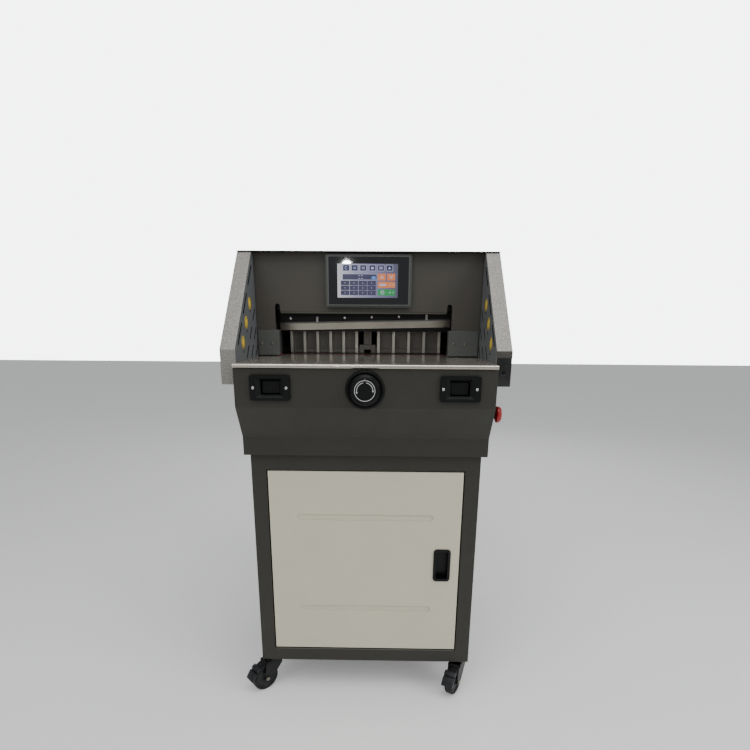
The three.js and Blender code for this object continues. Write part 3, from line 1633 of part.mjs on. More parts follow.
function makeHead() {
  const panelSide = housingSide - seatGap * 2;
  const panelRear = headSetback + headSheet;
  const panel = block(
    [-panelSide, panelSide],
    [headSetback, panelRear],
    [tableTop + headFootGap, headTop - headSheet * half],
  );
  const top = block([-wingOuter, wingOuter], [headTopSetback, headRear], [headTop - headSheet, headTop]);
  const through = [headSetback - overrun, panelRear + overrun];
  const throat = block([throatLeft, throatRight], through, [tableTop - overrun, tableTop + throatCutRise]);
  const notch = (from) =>
    prism(
      "y",
      roundedOutline([from, from + notchWidth], [tableTop, tableTop + notchRise], notchWidth * half),
      through,
    );
  const display = block(
    about(bezelOffset, glassWidth - displayBackMargin * half),
    through,
    about(tableTop + bezelRise, glassHeight - displayBackMargin * half),
  );
  const head = cut(
    join(panel, top),
    throat,
    notch(throatLeft),
    notch(throatRight - notchWidth),
    display,
  );
  add(group, "head_cover", head, finishes.darkGrey);

  for (const { name, sign } of sides) {
    const inner = sign < 0 ? cutLeft : cutRight;
    const outer = sign * (housingSide - guideOuterGap);
    const front = headSetback - seatGap - guideThickness;
    const ends = sign < 0 ? [outer, inner] : [inner, outer];
    const lip = sign < 0 ? [inner - guideThickness, inner] : [inner, inner + guideThickness];
    const heights = [tableTop + guideFoot, tableTop + guideRise];
    const guide = join(
      block(ends, [front, front + guideThickness], heights),
      block(lip, [front, front + guideReturn], heights),
    );
    add(group, `guide_cover_${name}`, guide, finishes.guideGrey);
  }
}

function makeDisplay() {
  const z = tableTop + bezelRise;
  const back = headSetback - seatGap;
  const face = back - bezelStandOut;
  const outer = roundedOutline(about(bezelOffset, bezelWidth), about(z, bezelHeight), bezelCorner);
  const lip = roundedOutline(
    about(bezelOffset, bezelWidth - bezelTaper * 2),
    about(z, bezelHeight - bezelTaper * 2),
    bezelCorner - bezelTaper * half,
  );
  const pocket = block(
    about(bezelOffset, glassWidth + seatGap * 2),
    [face - overrun, face + glassRecess + glassThickness + seatGap],
    about(z, glassHeight + seatGap * 2),
  );
  const well = block(
    about(bezelOffset, glassWidth - displayBackMargin * 2 + seatGap * 2),
    [face - overrun, back + overrun],
    about(z, glassHeight - displayBackMargin * 2 + seatGap * 2),
  );
  const bezel = cut(
    join(prism("y", outer, [face + bezelTaper, back]), prism("y", lip, [face, face + bezelTaper])),
    pocket,
    well,
  );
  add(group, "display_bezel", bezel, finishes.guideGrey);

  const glassFront = face + glassRecess;
  const screen = join(
    block(about(bezelOffset, glassWidth), [glassFront, glassFront + glassThickness], about(z, glassHeight)),
    block(
      about(bezelOffset, displayModuleWidth),
      [glassFront + glassThickness * half, headSetback + displayBackDepth],
      about(z, displayModuleHeight),
    ),
  );
  add(group, "touch_screen", screen, finishes.glass);
}

// Rear cover: the head's back wall and a hood over the rear table
function makeRearCover() {
  const wallFront = headRear + seatGap;
  const low = tableUnder + seatGap;
  const step = cabinetRear + seatGap;
  const bottom = tableTop - hoodDrop;
  const hoodTop = tableTop + hoodRise;
  const side = outline([
    [wallFront, low],
    [step, low],
    [step, bottom],
    [hoodRear, bottom],
    [hoodRear, hoodTop],
    [wallFront, hoodTop],
  ]);
  const inside = outline([
    [wallFront - overrun, bottom - overrun],
    [hoodRear - hoodSheet, bottom - overrun],
    [hoodRear - hoodSheet, hoodTop - hoodSheet],
    [wallFront - overrun, hoodTop - hoodSheet],
  ]);
  const hood = cut(
    prism("x", side, [-housingSide, housingSide]),
    prism("x", inside, [-housingSide + hoodSheet, housingSide - hoodSheet]),
  );
  const wall = block(
    [-wingOuter, wingOuter],
    [wallFront, wallFront + hoodSheet],
    [hoodTop - hoodSheet, headTop],
  );
  add(group, "rear_cover", join(hood, wall), finishes.darkGrey);
}

// Control box that hangs under the cabinet's top at the left rear
function makeControlBox() {
  const left = -cabinetSide + cabinetWall + controlSideInset;
  const rear = cabinetRear - backPanelThickness - controlSideInset;
  const top = cabinetTop - cabinetWall - seatGap;
  const body = block(
    [left, left + controlWidth],
    [rear - controlDepth, rear],
    [top - controlHeight, top],
  );
  let box = join(
    body,
    block(
      [left - controlCoverLip, left + controlWidth + controlCoverLip],
      [rear - controlDepth - controlCoverLip, rear - controlDepth + controlCoverLip],
      [top - controlHeight - controlCoverLip, top],
    ),
  );
  const pitch = controlDepth / (controlFinCount + 1);
  for (let i = 1; i <= controlFinCount; i += 1) {
    const fin = block(
      [left + controlWidth - controlCoverLip, left + controlWidth + controlFinHeight],
      about(rear - controlDepth + i * pitch, controlFinThickness),
      [top - controlHeight + controlCoverLip, top - controlCoverLip],
    );
    box = join(box, fin);
  }
  add(group, "control_box", box, finishes.aluminium);
}

makeCabinet();
makeDoor();
makeCasters();
makeHousing();
makeButtons();
makeDial();
makeStop();
makeTable();
makeBed();
makePortal();
makeYoke();
makeKnife();
makeKnifeDrive();
makeClamp();
makeGauge();
makeWings();
makeHead();
makeDisplay();
makeRearCover();
makeControlBox();

export default group;
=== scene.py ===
# %% [markdown]
# # Dressing an electric paper guillotine
# The real machine is folded, painted sheet metal around a cast bed, with a bright steel table,
# hammertone side wings and a touch display. The solid model already gives every shape its true
# place, so this lesson only gives the surfaces their finish and adds the small things that make
# it look real.

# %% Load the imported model
import json
import math

import bmesh
import bpy
from mathutils import Matrix, Vector


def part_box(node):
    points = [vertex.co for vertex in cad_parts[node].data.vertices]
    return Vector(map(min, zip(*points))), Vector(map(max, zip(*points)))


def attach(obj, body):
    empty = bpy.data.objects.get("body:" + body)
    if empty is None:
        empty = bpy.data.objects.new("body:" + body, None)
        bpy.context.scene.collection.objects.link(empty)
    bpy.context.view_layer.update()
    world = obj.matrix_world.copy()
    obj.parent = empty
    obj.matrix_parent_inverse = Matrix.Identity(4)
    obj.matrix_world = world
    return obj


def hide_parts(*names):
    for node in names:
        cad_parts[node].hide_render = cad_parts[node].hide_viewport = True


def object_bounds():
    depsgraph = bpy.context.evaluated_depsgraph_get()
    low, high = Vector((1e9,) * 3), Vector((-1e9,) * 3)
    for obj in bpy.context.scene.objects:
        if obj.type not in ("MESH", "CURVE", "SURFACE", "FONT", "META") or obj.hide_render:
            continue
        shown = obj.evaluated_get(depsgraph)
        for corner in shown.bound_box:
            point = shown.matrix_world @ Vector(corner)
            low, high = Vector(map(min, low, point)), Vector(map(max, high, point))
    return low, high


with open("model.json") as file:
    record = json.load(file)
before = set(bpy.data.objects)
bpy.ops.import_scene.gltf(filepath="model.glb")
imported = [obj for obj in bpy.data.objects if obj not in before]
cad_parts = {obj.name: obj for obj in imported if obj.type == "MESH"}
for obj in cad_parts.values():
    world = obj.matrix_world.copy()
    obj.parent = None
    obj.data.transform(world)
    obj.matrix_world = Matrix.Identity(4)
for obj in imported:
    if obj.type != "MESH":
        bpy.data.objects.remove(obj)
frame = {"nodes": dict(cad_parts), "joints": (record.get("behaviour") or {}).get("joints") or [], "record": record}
cad_low, cad_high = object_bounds()
record = frame["record"]
body_of = {n: b for b, nodes in record["behaviour"]["bodies"].items() for n in nodes}
slot_of = {s["node"]: s["material_slot"] for s in record["subparts"]}
print("solids:", len(frame["nodes"]), "box:", [round(v, 4) for v in cad_high - cad_low])

# %% [markdown]
# ## A handy ruler
# On the drawing, depths are counted from the table's front edge and heights from the table's
# surface, in millimetres. Three small functions turn such places and lengths into metres in the
# model's own frame, so the numbers in later cells can be read off the machine with a tape measure.

# %% Places and lengths
MM = 0.001
table_low, table_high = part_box("front_table")


def at(x, depth, height):
    """A place by its distance right of the middle, behind the table's edge and above the table."""
    return Vector((x * MM, table_low.y + depth * MM, table_high.z + height * MM))


def on_face(x, face, height):
    """A place on an upright front face, whose depth is already known in metres."""
    return Vector((at(x, 0, 0).x, face, at(0, 0, height).z))


def mm(*values):
    return [v * MM for v in values]


print("table edge at y", round(table_low.y, 4), "table surface at z", round(table_high.z, 4))

# %% [markdown]
# ## The camera
# The picture was taken a little to the right of the middle, from about the height of the display,
# looking 16 degrees down. Its lens is wide, so upright edges lean together towards the floor.
# The lens shift only moves the picture in its frame, as a crop would.

# %% Camera
FOCAL_PX, MIDDLE_PX, PICTURE_PX, SENSOR = 519.34, (372.747, 471.0), 750, 36
PITCH, YAW, ROLL = 0.2804, -0.0136, 0.0068
CAMERA_PLACE = (0.035313, -1.63169, 1.018448)

down, up = math.sin(PITCH), math.cos(PITCH)
aside, forwards = math.sin(YAW), math.cos(YAW)
ahead = Vector((aside * up, forwards * up, -down))
level = Vector((forwards, -aside, 0))
above = Vector((aside * down, forwards * down, up))
rightward = level * math.cos(ROLL) + above * math.sin(ROLL)
upward = above * math.cos(ROLL) - level * math.sin(ROLL)

camera_data = bpy.data.cameras.new("camera")
camera_data.sensor_width = SENSOR
camera_data.lens = FOCAL_PX * SENSOR / PICTURE_PX
camera_data.shift_x = (PICTURE_PX / 2 - MIDDLE_PX[0]) / PICTURE_PX
camera_data.shift_y = (MIDDLE_PX[1] - PICTURE_PX / 2) / PICTURE_PX
camera = bpy.data.objects.new("camera", camera_data)
bpy.context.scene.collection.objects.link(camera)
camera.matrix_world = Matrix.Translation(CAMERA_PLACE) @ (
    Matrix((rightward, upward, -ahead)).transposed().to_4x4()
)
bpy.context.scene.camera = camera
print("lens", round(camera_data.lens, 2), "mm")

# %% [markdown]
# ## Floor and light
# A pale floor under a white surround, and a few large, soft lamps, show the shapes without hard
# shadows. The surround looks white to the camera but lights the machine gently, or the dark paint
# would turn milky. One small lamp far behind the camera leaves the glint in the display's glass.

# %% Floor and surround
FLOOR_REACH = 12

floor_mesh = bpy.data.meshes.new("floor")
signs = ((-1, -1), (1, -1), (1, 1), (-1, 1))
floor_spots = [(x * FLOOR_REACH, y * FLOOR_REACH, 0) for x, y in signs]
floor_mesh.from_pydata(floor_spots, [], [(0, 1, 2, 3)])
floor = bpy.data.objects.new("floor", floor_mesh)
bpy.context.scene.collection.objects.link(floor)
floor_look = bpy.data.materials.new("floor_paper")
floor_look.use_nodes = True
floor_shader = floor_look.node_tree.nodes["Principled BSDF"]
floor_shader.inputs["Base Color"].default_value = (0.9, 0.9, 0.9, 1)
floor_shader.inputs["Roughness"].default_value = 0.9
floor_shader.inputs["Emission Color"].default_value = (1, 1, 1, 1)
floor_shader.inputs["Emission Strength"].default_value = 0.15
floor_mesh.materials.append(floor_look)

world = bpy.data.worlds.new("studio")
world.use_nodes = True
surround = world.node_tree
seen = surround.nodes.new("ShaderNodeLightPath")
strength = surround.nodes.new("ShaderNodeMapRange")
strength.inputs["To Min"].default_value = 0.38
strength.inputs["To Max"].default_value = 6.0
surround.links.new(seen.outputs["Is Camera Ray"], strength.inputs["Value"])
surround.nodes["Background"].inputs["Color"].default_value = (0.96, 0.98, 1.0, 1)
surround.links.new(strength.outputs["Result"], surround.nodes["Background"].inputs["Strength"])
bpy.context.scene.world = world
print("floor reaches", FLOOR_REACH, "m")

# %% Lamps


def lamp(name, place, target, size, power, shape="SQUARE"):
    data = bpy.data.lights.new(name, "AREA")
    data.shape, data.size, data.energy = shape, size, power
    made = bpy.data.objects.new(name, data)
    made.location = place
    made.rotation_mode = "QUATERNION"
    made.rotation_quaternion = (Vector(target) - Vector(place)).to_track_quat("-Z", "Y")
    bpy.context.scene.collection.objects.link(made)


lamp("key", (-1.7, -2.6, 2.9), (0, 0, 0.8), 2.2, 26)
lamp("fill", (2.4, -1.6, 2.0), (0, 0, 0.9), 1.8, 30)
lamp("overhead", (0.1, -1.0, 2.9), (0, -0.2, 0.9), 1.8, 30)
lamp("rim", (0.6, 2.8, 2.2), (0, 0, 0.8), 2.0, 16)
lamp("glint", (-0.244, -3.2, 1.45), (-0.06, -0.19, 1.16), 0.07, 2.2, "DISK")

# %% [markdown]
# ## Building a finish
# Real paint and metal are never one colour. Every finish here starts from the same few nodes: a
# wide, faint pattern shifts the colour and the gloss, and a fine one raises the surface a little.
# All of them read Object coordinates, so a finish keeps its scale on every piece.

# %% Colours


def linear(colour):
    """Screen values of 0 to 255 as the light values that a shader takes."""
    shares = [c / 255 for c in colour]
    return [s / 12.92 if s <= 0.04045 else ((s + 0.055) / 1.055) ** 2.4 for s in shares]


def shade(colour, factor=1):
    return (*[min(1, c * factor) for c in linear(colour)], 1)


print("half grey as light:", round(linear((128, 128, 128))[0], 3))

# %% Finish helper
GLOSS_PATCH = 2.3


class Finish:
    """A material with helpers that add and join its nodes."""

    def __init__(self, name, colour, roughness, metallic=0.0, spread=0.08, patch=9.0, swing=0.06):
        self.material = bpy.data.materials.new(name)
        self.material.use_nodes = True
        self.tree = self.material.node_tree
        self.shader = self.tree.nodes["Principled BSDF"]
        self.set("Metallic", metallic)
        self.set("Roughness", roughness)
        self.coords = self.add("ShaderNodeTexCoord").outputs["Object"]
        self.normal = None
        self.colour_pattern(colour, spread, patch)
        self.gloss_pattern(roughness, patch * GLOSS_PATCH, swing)

    def set(self, socket, value):
        self.shader.inputs[socket].default_value = value

    def add(self, kind, **values):
        made = self.tree.nodes.new(kind)
        for key, value in values.items():
            if hasattr(made, key):
                setattr(made, key, value)
            else:
                made.inputs[key.replace("_", " ").title()].default_value = value
        return made

    def join(self, output, target):
        self.tree.links.new(output, target)

    def scaled(self, stretch):
        """Object coordinates, drawn out by a different amount along each axis."""
        mapping = self.add("ShaderNodeMapping")
        mapping.inputs["Scale"].default_value = stretch
        self.join(self.coords, mapping.inputs["Vector"])
        return mapping.outputs["Vector"]

    def noise(self, scale, detail=3.0, stretch=None):
        made = self.add("ShaderNodeTexNoise", Scale=scale, Detail=detail)
        self.join(self.scaled(stretch) if stretch else self.coords, made.inputs["Vector"])
        return made.outputs["Fac"]

    def ramp(self, value, stops):
        made = self.add("ShaderNodeValToRGB")
        band = made.color_ramp
        while len(band.elements) < len(stops):
            band.elements.new(0.5)
        for element, (place, colour) in zip(band.elements, stops):
            element.position, element.color = place, colour
        self.join(value, made.inputs["Fac"])
        return made.outputs["Color"]

    def colour_pattern(self, colour, spread, patch):
        stops = [(0.3, shade(colour, 1 - spread)), (0.7, shade(colour, 1 + spread))]
        self.join(self.ramp(self.noise(patch), stops), self.shader.inputs["Base Color"])

    def gloss_pattern(self, roughness, patch, swing):
        made = self.add("ShaderNodeMapRange")
        made.inputs["To Min"].default_value = max(0.02, roughness - swing)
        made.inputs["To Max"].default_value = min(1.0, roughness + swing)
        self.join(self.noise(patch), made.inputs["Value"])
        self.join(made.outputs["Result"], self.shader.inputs["Roughness"])

    def raise_by(self, value, strength, height):
        """Lays one more relief over the surface, on top of those already there."""
        made = self.add("ShaderNodeBump", Strength=strength, Distance=height)
        self.join(value, made.inputs["Height"])
        if self.normal:
            self.join(self.normal, made.inputs["Normal"])
        self.normal = made.outputs["Normal"]
        self.join(self.normal, self.shader.inputs["Normal"])


print("a finish has a colour pattern, a gloss pattern and stacked reliefs")

# %% [markdown]
# ## Paints
# The body is powder-coated in a warm dark grey with a faint orange-peel texture. The door is a
# creamy light grey with a smoother coat. The wings are hammertone: the paint pulls into small
# dimples and flecks as it dries. A noise gives the flecks and smooth Voronoi cells the dimples.

# %% Powder coats
LOW_SHINE = 0.35


def powder_coat(name, colour, roughness, peel=0.1, spread=0.06):
    """Paint with a fine orange peel and a wide, weak wave."""
    made = Finish(name, colour, roughness, spread=spread)
    made.raise_by(made.noise(650, 2.0), peel, 0.00025)
    made.raise_by(made.noise(40, 2.0), peel * 0.5, 0.0006)
    return made


body_paint = powder_coat("body_paint", (60, 57, 51), 0.5)
# The lower housing and the cabinet take a darker copy of the body paint. The darkness is painted shade, because
# these lower faces get less light.
lower_shaded_paint = powder_coat("lower_body_shaded_paint", (46, 45, 39), 0.5)
lower_shaded_paint.set("Specular IOR Level", LOW_SHINE)
door_paint = powder_coat("door_paint", (202, 197, 175), 0.42, peel=0.06, spread=0.02)
inner_paint = powder_coat("inner_wing_paint", (98, 101, 104), 0.5)
guide_paint = powder_coat("guide_paint", (72, 75, 72), 0.42)
cast_paint = powder_coat("cast_paint", (80, 83, 85), 0.6, peel=0.35)
print("coats:", [m.material.name for m in (body_paint, lower_shaded_paint, door_paint, inner_paint)])

# %% Hammertone
FLECKS = ((0.38, 0.7), (0.5, 0.94), (0.62, 1.22))


def hammertone(name, colour):
    made = Finish(name, colour, 0.38, metallic=0.35, spread=0.05)
    stops = [(place, shade(colour, share)) for place, share in FLECKS]
    made.join(made.ramp(made.noise(360, 1.5), stops), made.shader.inputs["Base Color"])
    cells = made.add("ShaderNodeTexVoronoi", feature="SMOOTH_F1", Scale=240.0)
    made.join(made.coords, cells.inputs["Vector"])
    made.raise_by(cells.outputs["Distance"], 0.5, 0.0004)
    return made


wing_paint = hammertone("wing_hammertone", (143, 140, 134))
print("hammertone nodes:", len(wing_paint.tree.nodes))

# %% [markdown]
# ## Metals and plastics
# The table is bright steel with fine grooves from front to back, which let the paper glide on air.
# Stretching a noise along one axis gives the brush marks of ground steel. The black plastics are
# finely grained, and the rubber is dull and a little dusty.

# %% Metals
ALONG_X, ALONG_Y, ALONG_Z = (1, 22, 22), (22, 1, 22), (22, 22, 1)


def ground_steel(name, colour, roughness, stretch, spread=0.12, metallic=1.0):
    made = Finish(name, colour, roughness, metallic=metallic, spread=spread)
    made.raise_by(made.noise(60, 4.0, stretch), 0.12, 0.0002)
    return made


table_steel = ground_steel(
    "table_steel", (170, 163, 152), 0.16, ALONG_Y, spread=0.05, metallic=0.85
)
blade_steel = ground_steel("blade_steel", (176, 174, 168), 0.34, ALONG_X)
knife_steel = ground_steel("knife_steel", (144, 143, 139), 0.38, ALONG_X)
machined_steel = ground_steel("machined_steel", (128, 124, 116), 0.36, ALONG_Z)
screw_steel = ground_steel("screw_steel", (205, 205, 200), 0.25, ALONG_Z, spread=0.05)
aluminium = ground_steel("anodised_aluminium", (172, 174, 175), 0.4, ALONG_X)
print("table steel roughness:", table_steel.shader.inputs["Roughness"].default_value)

# %% Plastics, rubber, painted shade and glass


def moulded(name, colour, roughness, grain=0.12, spread=0.1, mirror=0.5):
    """Plastic with a fine grain; mirror is how much its surface reflects, 0.5 being usual."""
    made = Finish(name, colour, roughness, spread=spread)
    made.set("Specular IOR Level", mirror)
    made.raise_by(made.noise(1400, 2.0), grain, 0.00012)
    return made


black_plastic = moulded("black_plastic", (9, 10, 11), 0.36, grain=0.05, mirror=0.22)
black_steel = moulded("blackened_steel", (12, 12, 13), 0.42, grain=0.2, mirror=0.3)
rubber = moulded("tyre_rubber", (13, 13, 13), 0.7, grain=0.4)
# A dull black finish that is painted shade: it goes into the comb's recesses and the wings' slots, where only
# shade falls.
shade_black = moulded("painted_shade_black", (7, 7, 7), 0.95, grain=0.6, mirror=0.05)
red_plastic = moulded("red_plastic", (152, 28, 26), 0.3, grain=0.05)
stick_plastic = moulded("stick_plastic", (186, 44, 40), 0.5)
screen_glass = Finish("screen_glass", (10, 11, 14), 0.03, spread=0.1, swing=0.01)
screen_glass.set("Coat Weight", 0.6)
print("finishes ready:", len(bpy.data.materials))

# %% [markdown]
# ## Dressing the solids
# The record names the finish of every solid, so a table from those names to the materials dresses
# them all at once. A few solids have a finish of their own. A solid's mesh is never touched here:
# only its material slot is filled.

# %% Dress the solids
LOOKS = {
    "body_grey": body_paint,
    "door_cream": door_paint,
    "hammertone_grey": wing_paint,
    "wing_grey": inner_paint,
    "guide_grey": guide_paint,
    "polished_steel": table_steel,
    "machined_steel": machined_steel,
    "blade_steel": blade_steel,
    "cast_grey": cast_paint,
    "black_steel": black_steel,
    "black_plastic": black_plastic,
    "tyre_black": rubber,
    "red_plastic": red_plastic,
    "stick_red": stick_plastic,
    "screen_glass": screen_glass,
    "aluminium": aluminium,
}
OWN_LOOKS = {
    # The lower housing and the cabinet use the darker copy of the body paint, which is painted shade.
    "front_housing": lower_shaded_paint,
    "cabinet_shell": lower_shaded_paint,
    "guide_beam": black_steel,
    # The gauge carriage is made black so that it reads as painted shade where it shows through the comb's notch.
    "gauge_carriage": black_steel,
    "knife_blade": knife_steel,
    "door_hinge": black_steel,
}


def finish_of(node):
    return OWN_LOOKS.get(node, LOOKS[slot_of[node]])


for node, solid in frame["nodes"].items():
    solid.data.materials.clear()
    solid.data.materials.append(finish_of(node).material)
print("dressed", len(frame["nodes"]), "solids")

# %% [markdown]
# ## Shapes in hand
# Every added shape is drawn as a mesh in code, in metres, then turned and carried to its place
# before it becomes an object, so the object itself stays at the origin. A row of points with eased
# corners makes either a turned shape, like on a lathe, or the outline of a plate.

# %% Eased corners
NEARLY_STRAIGHT = math.radians(178)
NEARLY_HALF = 0.49


def eased(points, radius, steps=4, closed=True):
    """Rounds the corners of a row of points; the ends of an open row stay as they are."""
    line = [Vector(p) for p in points]
    made = []
    for i, corner in enumerate(line):
        if not closed and i in (0, len(line) - 1):
            made.append(corner)
            continue
        before, after = line[i - 1] - corner, line[(i + 1) % len(line)] - corner
        bend = before.angle(after)
        if bend > NEARLY_STRAIGHT:
            made.append(corner)
            continue
        room = min(before.length * NEARLY_HALF, after.length * NEARLY_HALF)
        reach = min(radius / math.tan(bend / 2), room)
        start, end = corner + before.normalized() * reach, corner + after.normalized() * reach
        for k in range(steps + 1):
            t = k / steps
            made.append(start * (1 - t) ** 2 + corner * 2 * t * (1 - t) + end * t**2)
    return made


def turned_line(points, radius, steps=5, closed=False):
    """A profile for the lathe, drawn in millimetres, with eased corners."""
    return eased([mm(*p) for p in points], radius * MM, steps, closed)


def corners(width, height):
    a, b = width / 2, height / 2
    return [(-a, -b), (a, -b), (a, b), (-a, b)]


print("an eased square has", len(eased(corners(0.01, 0.01), 0.001)), "points")

# %% Lathe


def lathe(profile, steps=64, closed=False):
    """Turns (radius, height) pairs about Z; a closed profile makes a ring with a hole."""
    work = bmesh.new()
    rings = []
    for radius, height in profile:
        count = 1 if radius < 1e-6 else steps
        turns = [2 * math.pi * k / steps for k in range(count)]
        spots = [(radius * math.cos(a), radius * math.sin(a), height) for a in turns]
        rings.append([work.verts.new(spot) for spot in spots])
    pairs = list(zip(rings, rings[1:] + rings[:1]))
    for low, high in pairs if closed else pairs[:-1]:
        for k in range(steps):
            following = (k + 1) % steps
            around = (low[k % len(low)], low[following % len(low)])
            back = (high[following % len(high)], high[k % len(high)])
            face = list(dict.fromkeys(around + back))
            if len(face) > 2:
                work.faces.new(face)
    bmesh.ops.recalc_face_normals(work, faces=work.faces)
    return work


def rod(radius, low, high, steps):
    """A round bar about Z between two heights, all in millimetres."""
    return lathe([mm(0, low), mm(radius, low), mm(radius, high), mm(0, high)], steps)


print("a 10 mm disc has", len(rod(5, 0, 1, 64).faces), "faces")

# %% Plates


def round_over(work, edges, width, clamp=False):
    """Gives edges a small round of two strips."""
    return bmesh.ops.bevel(
        work, geom=edges, offset=width, segments=2, profile=0.5, affect="EDGES", clamp_overlap=clamp
    )


def plate(points, thickness, edge=0.0003):
    """A flat outline given thickness along Z, with its upper edge eased."""
    work = bmesh.new()
    base = work.faces.new([work.verts.new((*p[:2], 0)) for p in points])
    raised = bmesh.ops.extrude_face_region(work, geom=[base])["geom"]
    top = next(g for g in raised if isinstance(g, bmesh.types.BMFace))
    bmesh.ops.translate(work, vec=(0, 0, thickness), verts=list(top.verts))
    bmesh.ops.recalc_face_normals(work, faces=work.faces)
    if edge:
        round_over(work, list(top.edges), edge)
    return work


def rounded_plate(width, height, corner, thickness, edge=0.0003):
    return plate(eased(corners(width, height), corner), thickness, edge)


print("a rounded plate has", len(rounded_plate(0.02, 0.01, 0.001, 0.002).faces), "faces")

# %% Turning shapes to their place
FRONT, RIGHT, LEFT, REAR, UP = (0, -1, 0), (1, 0, 0), (-1, 0, 0), (0, 1, 0), (0, 0, 1)


def turned_to(facing, place=(0, 0, 0)):
    """A move that stands a shape's Z along a direction, with its Y upwards, at a place."""
    ahead_way = Vector(facing).normalized()
    side = Vector(UP).cross(ahead_way).normalized()
    turn = Matrix((side, ahead_way.cross(side), ahead_way)).transposed().to_4x4()
    return Matrix.Translation(place) @ turn


def crosswise(x):
    """A move that stands a (depth, height) outline across the machine, its thickness along X."""
    return Matrix(((0, 0, 1, x), (1, 0, 0, 0), (0, 1, 0, 0), (0, 0, 0, 1)))


print("a plate that faces forwards looks along", [round(v) for v in turned_to(FRONT).col[2][:3]])

# %% [markdown]
# ## From mesh to piece
# A finished piece names the body of the machine that it moves with. A piece that stands for a solid
# hides that solid. Edges sharper than the given angle stay crisp.

# %% Pieces
SHARP = 38


def shaded(mesh, sharp=SHARP):
    mesh.polygons.foreach_set("use_smooth", [True] * len(mesh.polygons))
    mesh.set_sharp_from_angle(angle=math.radians(sharp))


def dress(name, mesh, finish, body, replaces=(), sharp=SHARP):
    mesh.materials.clear()
    mesh.materials.append(finish.material)
    shaded(mesh, sharp)
    made = bpy.data.objects.new(name, mesh)
    bpy.context.scene.collection.objects.link(made)
    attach(made, body)
    if replaces:
        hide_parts(*replaces)
    return made


def piece(name, work, finish, body, move=None, replaces=()):
    if move:
        work.transform(move)
    mesh = bpy.data.meshes.new(name)
    work.to_mesh(mesh)
    work.free()
    return dress(name, mesh, finish, body, replaces)


def joined(*works):
    """Puts several shapes into one mesh."""
    whole = works[0]
    for work in works[1:]:
        part = bpy.data.meshes.new("part")
        work.to_mesh(part)
        work.free()
        whole.from_mesh(part)
        bpy.data.meshes.remove(part)
    return whole


# %% [markdown]
# ## Folded edges
# Sheet metal never has knife-sharp folds, and moulded plastic has no sharp edge at all. The light
# that such an edge catches tells the eye how big the machine is. So the sheet and plastic solids
# are copied, their triangles merged back into flats, and every long edge gets a small round. The
# flats are marked first, and only they are shaded flat afterwards.

# %% Round the edges of a solid's copy
LEAST_BEND, SHARP_BEND = 0.02, 0.6
LARGE_FACE = 0.005
SHORTEST = 5.0


def merged_copy(node):
    """A solid's mesh as flats: its seams closed and its triangles joined."""
    work = bmesh.new()
    work.from_mesh(frame["nodes"][node].data)
    bmesh.ops.remove_doubles(work, verts=work.verts, dist=1e-6)
    bmesh.ops.dissolve_limit(work, angle_limit=0.01, verts=work.verts, edges=work.edges)
    return work


def on_curve(face):
    return any(LEAST_BEND < edge.calc_face_angle(0) < SHARP_BEND for edge in face.edges)


def mark_flats(work):
    """Marks the faces that are no part of a curve, and all faces in one plane with them."""
    flat = work.faces.layers.int.new("flat")
    for face in work.faces:
        face[flat] = face.calc_area() > LARGE_FACE or not on_curve(face)
    spreading = [face for face in work.faces if face[flat]]
    while spreading:
        for edge in spreading.pop().edges:
            for face in edge.link_faces:
                if not face[flat] and edge.calc_face_angle(1) < 0.01:
                    face[flat] = 1
                    spreading.append(face)
    return flat


def sharp_edges(work):
    return [e for e in work.edges if e.is_manifold and e.calc_face_angle() > SHARP_BEND]


def rounded_edges(work, width, smallest):
    """Rounds the long sharp edges between faces that are larger than the smallest area."""
    flat = mark_flats(work)
    edges = [e for e in sharp_edges(work) if e.calc_length() > SHORTEST * width]
    edges = [e for e in edges if min(face.calc_area() for face in e.link_faces) > smallest]
    for face in round_over(work, edges, width, clamp=True)["faces"]:
        face[flat] = 0
    bmesh.ops.triangulate(work, faces=[f for f in work.faces if len(f.verts) > 4])
    return work


print("edges that bend more than", round(math.degrees(SHARP_BEND)), "degrees are rounded")

# %% Soften the edges of sheet and plastic


def softened(node, width, finish=None, smallest=0.0):
    work = rounded_edges(merged_copy(node), width, smallest)
    finish = finish or finish_of(node)
    made = piece(node + "_soft", work, finish, body_of[node], replaces=(node,))
    mesh = made.data
    flats = [a.value for a in mesh.attributes["flat"].data]
    mesh.polygons.foreach_set("use_smooth", [not f for f in flats])
    mesh.attributes.remove(mesh.attributes["flat"])
    return made


SOFT_EDGES = {
    0.0012: ["head_cover", "front_housing", "door_panel", "rear_cover"],
    0.0010: ["wing_cover_left", "wing_cover_right", "button_housing_left", "button_housing_right"],
    0.0008: ["display_bezel", "guide_cover_left", "guide_cover_right", "door_handle_cup"],
    0.0015: ["cut_button_left", "cut_button_right"],
}
for width, nodes in SOFT_EDGES.items():
    for node in nodes:
        softened(node, width)
softened("cabinet_shell", 0.0012, smallest=0.001)
print("softened", sum(len(nodes) for nodes in SOFT_EDGES.values()) + 1, "solids")

# %% [markdown]
# ## Setting one shape on many places
# Screws, bolts, keys and ridges repeat. A Geometry Nodes tree sets one shape on every point of a
# mesh, standing along a direction stored on the points, so a row of screws is only a list of
# places. Every tree here starts with named inputs and ends by turning its copies into real faces.

# %% Start and end of a tree


def new_tree(name, kinds):
    """An empty tree with named inputs; gives back the tree, its inputs and its result."""
    tree = bpy.data.node_groups.new(name, "GeometryNodeTree")
    tree.is_modifier = True
    for title, kind in kinds.items():
        tree.interface.new_socket(title, in_out="INPUT", socket_type="NodeSocket" + kind)
    tree.interface.new_socket("Geometry", in_out="OUTPUT", socket_type="NodeSocketGeometry")
    given = tree.nodes.new("NodeGroupInput").outputs
    return tree, given, tree.nodes.new("NodeGroupOutput").inputs["Geometry"]


def wire(tree, *pairs):
    for output, target in pairs:
        tree.links.new(output, target)


